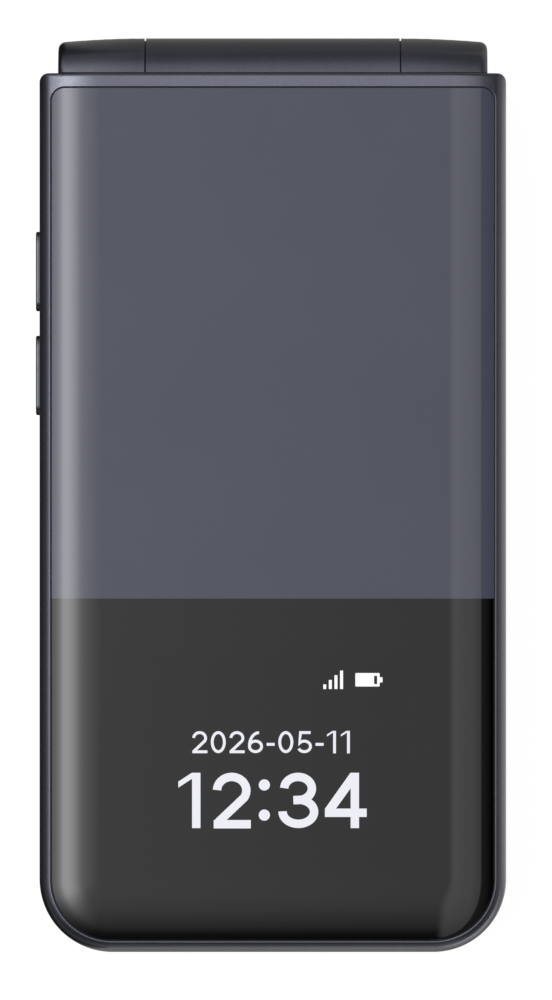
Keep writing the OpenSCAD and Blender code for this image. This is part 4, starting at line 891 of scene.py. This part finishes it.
KEY_LOW, KEY_HIGH = box_mm("key_5")
KEY_R = 1.6
KEY_TOP_Z = KEY_HIGH[2]
FLANGE_W = 0.35
FLANGE_Z = KEY_LOW[2]
FLANGE_TOP_Z = FLANGE_Z + 0.45
PILLOW = 0.16               # how much lower a cap is at the middle of a side
RING_LOW, RING_HIGH = box_mm("nav_ring")
RING_MIDDLE = (RING_LOW[:2] + RING_HIGH[:2]) / 2
RING_R = 7
RING_FLANGE = (7.65, 7.95)
NUB_X = 9
OK_LOW, OK_HIGH = box_mm("ok_key")
OK_R = 4.2
OK_GAP = 0.3
OK_FLANGE_W = 0.55
LEGEND_STROKE = 0.34
LEGEND_LIFT = 0.004
DIGIT_H = 3.6

key_plastic = moulded_plastic("satin_key_plastic", "#34363f", 0.38, 0.3, 0.003)
white_print = moulded_plastic("white_pad_print", "#e9eaec", 0.55, 0.12, 0.002)
green_print = moulded_plastic("green_pad_print", "#39b26a", 0.5, 0.12, 0.002)
red_print = moulded_plastic("red_pad_print", "#d8453c", 0.5, 0.12, 0.002)


def post(x, y, z0, z1):
    """A round post with a radius of 1 mm."""
    return revolve(x, y, [(1, z0), (1, z1)], 24)


def key_cap(node, r=KEY_R, flange_w=FLANGE_W, flange_z=FLANGE_TOP_Z, sag=PILLOW, below=()):
    """A key's pillowed cap, with the flange that keeps it in the plate and what is below: KEY_TOP_Z in the
    middle, sag lower at the middle of a side, by the cube of the way there. Gives its centre and the height
    of the print on it."""
    low, high = box_mm(node)
    x, y = (low[:2] + high[:2]) / 2
    half_w, half_l = (high[:2] - low[:2]) / 2 - flange_w

    def height(px, py, lift=0):
        return KEY_TOP_Z - sag * (np.abs((px - x) / half_w) ** 3 + np.abs((py - y) / half_l) ** 3) + lift

    cap = slab(lambda grow: plan(x, half_w, y - half_l, y + half_l, r, r, grow), height,
               [(0, flange_z), (flange_w, flange_z), (flange_w, FLANGE_Z)])
    piece(node + "_cap", [*cap, *below], key_plastic, node, [node])
    return np.array([x, y]), lambda px, py: height(px, py, LEGEND_LIFT)


def legend(body, patches, print_colour=white_print):
    """The print on a key, which moves with it."""
    piece(body + "_legend", patches, print_colour, body)


for sign, name in [*[(str(n), f"key_{n}") for n in range(10)], ("*", "key_star"), ("#", "key_hash")]:
    (x, y), top = key_cap(name)
    wide = signs(LEGEND_STROKE / DIGIT_H)[sign][1]
    legend(name, lettering(sign, x - wide * DIGIT_H / 2, y - DIGIT_H / 2, DIGIT_H, LEGEND_STROKE, top))

# the other keys' signs about the middle of the key: the width of the strokes, and their paths
HANDSET = ((0.5, arc(0, -1.1, 2.0, 1.5, 160, 20)),
           (0.9, [(-2.15, -0.95), (-1.25, -0.55)], [(1.25, -0.55), (2.15, -0.95)]))
KEY_SIGNS = {
    "soft_key_left": (white_print, (LEGEND_STROKE, *[[(-1.6, y), (1.6, y)] for y in (-1.1, 0, 1.1)])),
    "soft_key_right": (white_print, (LEGEND_STROKE, np.vstack([round_loop(0, 0, 1.5, 1.5, 0.5, 5)] * 2)[:21],
                                     [(-0.7, 0), (0.7, 0)])),
    "call_key": (green_print, *HANDSET),
    "end_key": (red_print, *HANDSET, (0.4, [(0, 1.0), (0, 1.9)])),
    "clear_key": (white_print, (
        LEGEND_STROKE, [(-2.3, 0), (-1.0, 1.2), (2.2, 1.2), (2.2, -1.2), (-1.0, -1.2), (-2.3, 0)],
        [(-0.1, -0.5), (0.9, 0.5)], [(-0.1, 0.5), (0.9, -0.5)])),
}
for name, (print_colour, *groups) in KEY_SIGNS.items():
    middle, top = key_cap(name)
    marks = [stroke(middle + path, width, top) for width, *paths in groups for path in paths]
    legend(name, marks, print_colour)


def navigation_ring():
    """The ring round the OK key, lofted through its own section: up the hole, over a shallow crown, and down
    to the flange. Each loop is a share of the way from the hole's outline to the rim's."""
    x, y = RING_MIDDLE
    half = (RING_HIGH[0] - RING_LOW[0]) / 2 - FLANGE_W
    hole = (OK_HIGH[0] - OK_LOW[0]) / 2 - FLANGE_W - 0.2 + OK_GAP
    loop = lambda grow, base, r: round_loop(x, y, base + grow, base + grow, r + grow, 12)
    hole_loop, rim_loop = loop(0, hole, OK_R + OK_GAP), loop(0, half, RING_R)
    wide_hole, wide_rim = loop(FLANGE_W + OK_GAP, hole, OK_R + OK_GAP), loop(FLANGE_W, half, RING_R)
    rows = [(wide_hole, RING_FLANGE[0]), (wide_hole, FLANGE_TOP_Z + 0.1), (hole_loop, FLANGE_TOP_Z + 0.1),
            (hole_loop, KEY_TOP_Z - 0.3)]
    rows += [(hole_loop + (rim_loop - hole_loop) * share, KEY_TOP_Z - 0.2 * np.abs(2 * share - 1) ** 3)
             for share in np.linspace(0.015, 0.985, 15)]
    rows += [(rim_loop, KEY_TOP_Z - 0.3), (rim_loop, RING_FLANGE[1]), (wide_rim, RING_FLANGE[1]),
             (wide_rim, RING_FLANGE[0])]
    nubs = [post(side * NUB_X, y, RING_LOW[2], RING_FLANGE[0] + 0.05) for side in (-1, 1)]
    return [stack(rows, wrap=True), *nubs]


piece("nav_ring_cap", navigation_ring(), key_plastic, "nav_ring", ["nav_ring"])
ARROW = np.array([(8.6, -0.55), (9.15, 0), (8.6, 0.55)])    # out from the ring's middle, and aside
ring_top = lambda x, y: np.full_like(x, KEY_TOP_Z - 0.015)
legend("nav_ring", [stroke(RING_MIDDLE + ARROW @ [(a, b), (-b, a)], 0.26, ring_top)
                    for a, b in ((1, 0), (0, 1), (-1, 0), (0, -1))])

middle, top = key_cap("ok_key", OK_R, OK_FLANGE_W, FLANGE_TOP_Z - 0.05, 0.14,
                      [post(*(OK_LOW[:2] + OK_HIGH[:2]) / 2, OK_LOW[2], FLANGE_Z + 0.05)])
legend("ok_key", [stroke(arc(*middle, 1.5, 1.5, 0, 360, 49), 0.3, top)])


def volume_key(node):
    """A long key with a soft round face, lofted along X through round rectangles: its proud end draws in,
    then its shaft, then the flange inside the wall and the nub."""
    low, high = box_mm(node)
    y, z = (low[1:] + high[1:]) / 2
    flange_l, flange_h = (high[1:] - low[1:]) / 2
    half_l, half_h = flange_l - 0.6, 1.3
    flange_x = -HALF_W + 2.45
    face = ((0, 0.25, 1.04), (0.02, 0.14, 1.15), (0.08, 0.05, 1.24), (0.2, 0, 1.29), (0.28, 0, 1.29))
    loops = [(low[0] + depth, half_l - inset, half_h - inset, r) for depth, inset, r in face]
    loops += [(flange_x, half_l, half_h, 1.29), (flange_x, flange_l, flange_h, 0.6),
              (flange_x + 0.4, flange_l, flange_h, 0.6), (flange_x + 0.4, 0.8, 0.8, 0.79),
              (high[0], 0.8, 0.8, 0.79)]
    key = loft([at_x(x, round_loop(y, z, *sizes, 10)) for x, *sizes in loops])
    piece(node + "_cap", [key], case_paint, node, [node])


volume_key("volume_up_key")
volume_key("volume_down_key")


# ------------ hinge cable

FLEX_LOW, FLEX_HIGH = box_mm("hinge_flex")
FLEX_W = 4.8
FLEX_R = 2.2
FLEX_T = 0.2
LID_TAIL_Y = 44.0


def rolled_cable():
    """The flat cable: a roll on the hinge's axis, with a tail into the base at one end and into the lid at
    the other. A tail is a strip FLEX_T thick that leaves the roll along its tangent."""
    x0, x1 = FLEX_LOW[0], FLEX_HIGH[0]
    ring = lambda x, r: at_x(x, [HINGE_Y, HINGE_Z] + r * circle(48)[:, ::-1])
    along = np.linspace(x0, x1, 24)
    roll = loft([ring(x, FLEX_R) for x in along] + [ring(x, FLEX_R - FLEX_T) for x in along[::-1]], wrap=True)

    def tail(x_low, x_high, y_low, y_high, z, high_z):
        return loft([[(x_low, y, z), (x_high, y, z), (x_high, y, high_z), (x_low, y, high_z)]
                     for y in (y_low, y_high)])

    base_z, lid_z = HINGE_Z - 1.75, HINGE_Z + 1.65
    leave_y = HINGE_Y - 1.2     # a tail starts here, within the roll
    return [roll, tail(x0, x0 + FLEX_W, FLEX_LOW[1], leave_y, base_z, base_z + FLEX_T),
            tail(x1 - FLEX_W, x1, leave_y, LID_TAIL_Y, lid_z, lid_z + FLEX_T),
            tail(x1 - FLEX_W, x1, LID_TAIL_Y, LID_TAIL_Y + FLEX_T, lid_z, FLEX_HIGH[2])]


def polyimide():
    """Amber film, half glossy, with copper tracks that shine through as paler stripes, 0.4 mm apart."""
    look = Finish("polyimide_cable", {"IOR": 1.6, "Roughness": 0.35})
    tracks = look.waves(0.4, bands_direction="Y", wave_profile="TRI")
    look.tint(look.between(tracks, 0, 1, (0.4, 0.6)), linear("#7a3d12"), linear("#c98238"))
    return look.material


cable = piece("rolled_flat_cable", rolled_cable(), polyimide(), None, ["hinge_flex"], 60)
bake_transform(cable)

# ------------ camera and inner display

CAMERA_X, FLASH_X, CAMERA_Y = -3.5, 6.0, 37.0
LENS_Z = box_mm("camera_module")[0][2]


def camera_glass():
    """The camera's cover: clear hard-coated acrylic, printed black from behind but for two round windows."""
    look = Finish("printed_camera_glass", {"IOR": 1.49, "Roughness": 0.03})
    clear = look.sum("MAXIMUM", *look.rings(CAMERA_X, CAMERA_Y, [2.5]), *look.rings(FLASH_X, CAMERA_Y, [1.25]))
    look.set("Transmission Weight", clear)
    ink = look.blend(look.noise(1.5), (0.004, 0.004, 0.005, 1), (0.007, 0.007, 0.008, 1))
    look.tint(clear, ink, (0.9, 0.92, 0.95, 1))
    return look.material


def camera_body():
    """The camera module: matt black moulding, with the lens holder's turned steps and the flash's yellow
    phosphor under its plate."""
    look = Finish("camera_moulding", {"IOR": 1.5, "Roughness": 0.45})
    outer, middle, inner = look.rings(CAMERA_X, CAMERA_Y, [2.9, 2.1, 1.0])
    flash, = look.rings(FLASH_X, CAMERA_Y, [0.95])
    steps = look.sum("SUBTRACT", look.sum("ADD", outer, inner), middle)
    dark = look.blend(look.noise(0.4), linear("#17181a"), linear("#222326"))
    look.tint(flash, look.blend(steps, dark, linear("#0a0b0e")), linear("#d9c352"))
    look.bump(steps, 0.1, 0.8)
    return look.material


def display_glass():
    """Hardened glass over the main display, printed black round it. The display is off: a black a little
    bluer than the print."""
    look = Finish("display_glass", {"IOR": 1.52, "Roughness": 0.02})
    low, high = box_mm("main_display")
    border, foot = 1.2, 3.5
    active = look.inside((low[0] + border, high[0] - border), (low[1] + foot, high[1] - border), 0.1)
    look.tint(active, (0.002, 0.002, 0.002, 1), (0.0055, 0.006, 0.008, 1))
    look.rough(look.noise(6), 0.015, 0.04)
    return look.material


def lens_glass():
    """Coated glass: almost black, very glossy, with a painted violet reflection of its coating in the middle.
    """
    look = Finish("coated_lens_glass", {"IOR": 1.7, "Roughness": 0.02, "Coat Weight": 1.0, "Coat IOR": 1.9})
    # painted reflection: the coating's violet gleam is painted into the base colour in the middle
    look.tint(*look.rings(CAMERA_X, CAMERA_Y, [1.1], 0.5), linear("#0a0c16"), linear("#1c1440"))
    return look.material


# the lens is a shallow dome, rounded by the sine of its sweep, on a short rim
sweep = np.radians(np.linspace(88, 8, 10))
dome = [(1.9 * np.cos(a), LENS_Z - 0.02 - 0.2 * (np.sin(a) - np.sin(sweep[-1]))) for a in sweep]
piece("camera_lens", [revolve(CAMERA_X, CAMERA_Y, dome + [(1.9, LENS_Z + 0.02)])], lens_glass(), "base")

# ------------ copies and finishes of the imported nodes

for node in ("base_front_case", "base_rear_case", "battery_cover"):
    smooth_copy(node)

LINES_ALONG_Y = (1, 0.03, 1)
for finish, nodes in (
        (machined_metal("pressed_steel", "#b4b6ba", 0.3, 0.15),
         "lid_bracket earpiece_mesh hinge_housing hinge_shaft board_shields dome_sheet vibration_motor "
         "usb_port sim_socket"),
        (machined_metal("blackened_screw_steel", "#6a6c70", 0.35, 0.1), "lid_screws base_screws"),
        (machined_metal("spring_wire", "#8f9196", 0.28, 0.08), "hinge_spring"),
        (machined_metal("sintered_bronze", "#a8844a", 0.45, 0.2, LINES_ALONG_Y), "hinge_follower"),
        (machined_metal("gold_plated_contacts", "#d9ae52", 0.2, 0.1, LINES_ALONG_Y), "battery_contacts"),
        (machined_metal("nickel_plated_magnet", "#b8b8bb", 0.18, 0.3, LINES_ALONG_Y), "lid_magnet"),
        (moulded_plastic("matt_black_moulding", "#232427"),
         "outer_display main_display earpiece loudspeaker earphone_jack hinge_bush"),
        (moulded_plastic("battery_wrap", "#2f3136", 0.42, 0.5, 0.004), "battery"),
        (soft_rubber("bumper_rubber", "#1d1e21"), "lid_bumpers"),
        (soft_rubber("white_silicone", "#d4d6d8"), "keymat nav_actuator"),
        (board_laminate("green_board", "#1d6a48"), "lid_board main_board"),
        (board_laminate("amber_flexible_board", "#8a5a24"), "side_key_board"),
        (display_glass(), "display_window"), (camera_body(), "camera_module"),
        (camera_glass(), "camera_window")):
    for node in nodes.split():
        slots = frame["nodes"][node].data.materials
        slots.clear()
        slots.append(finish)
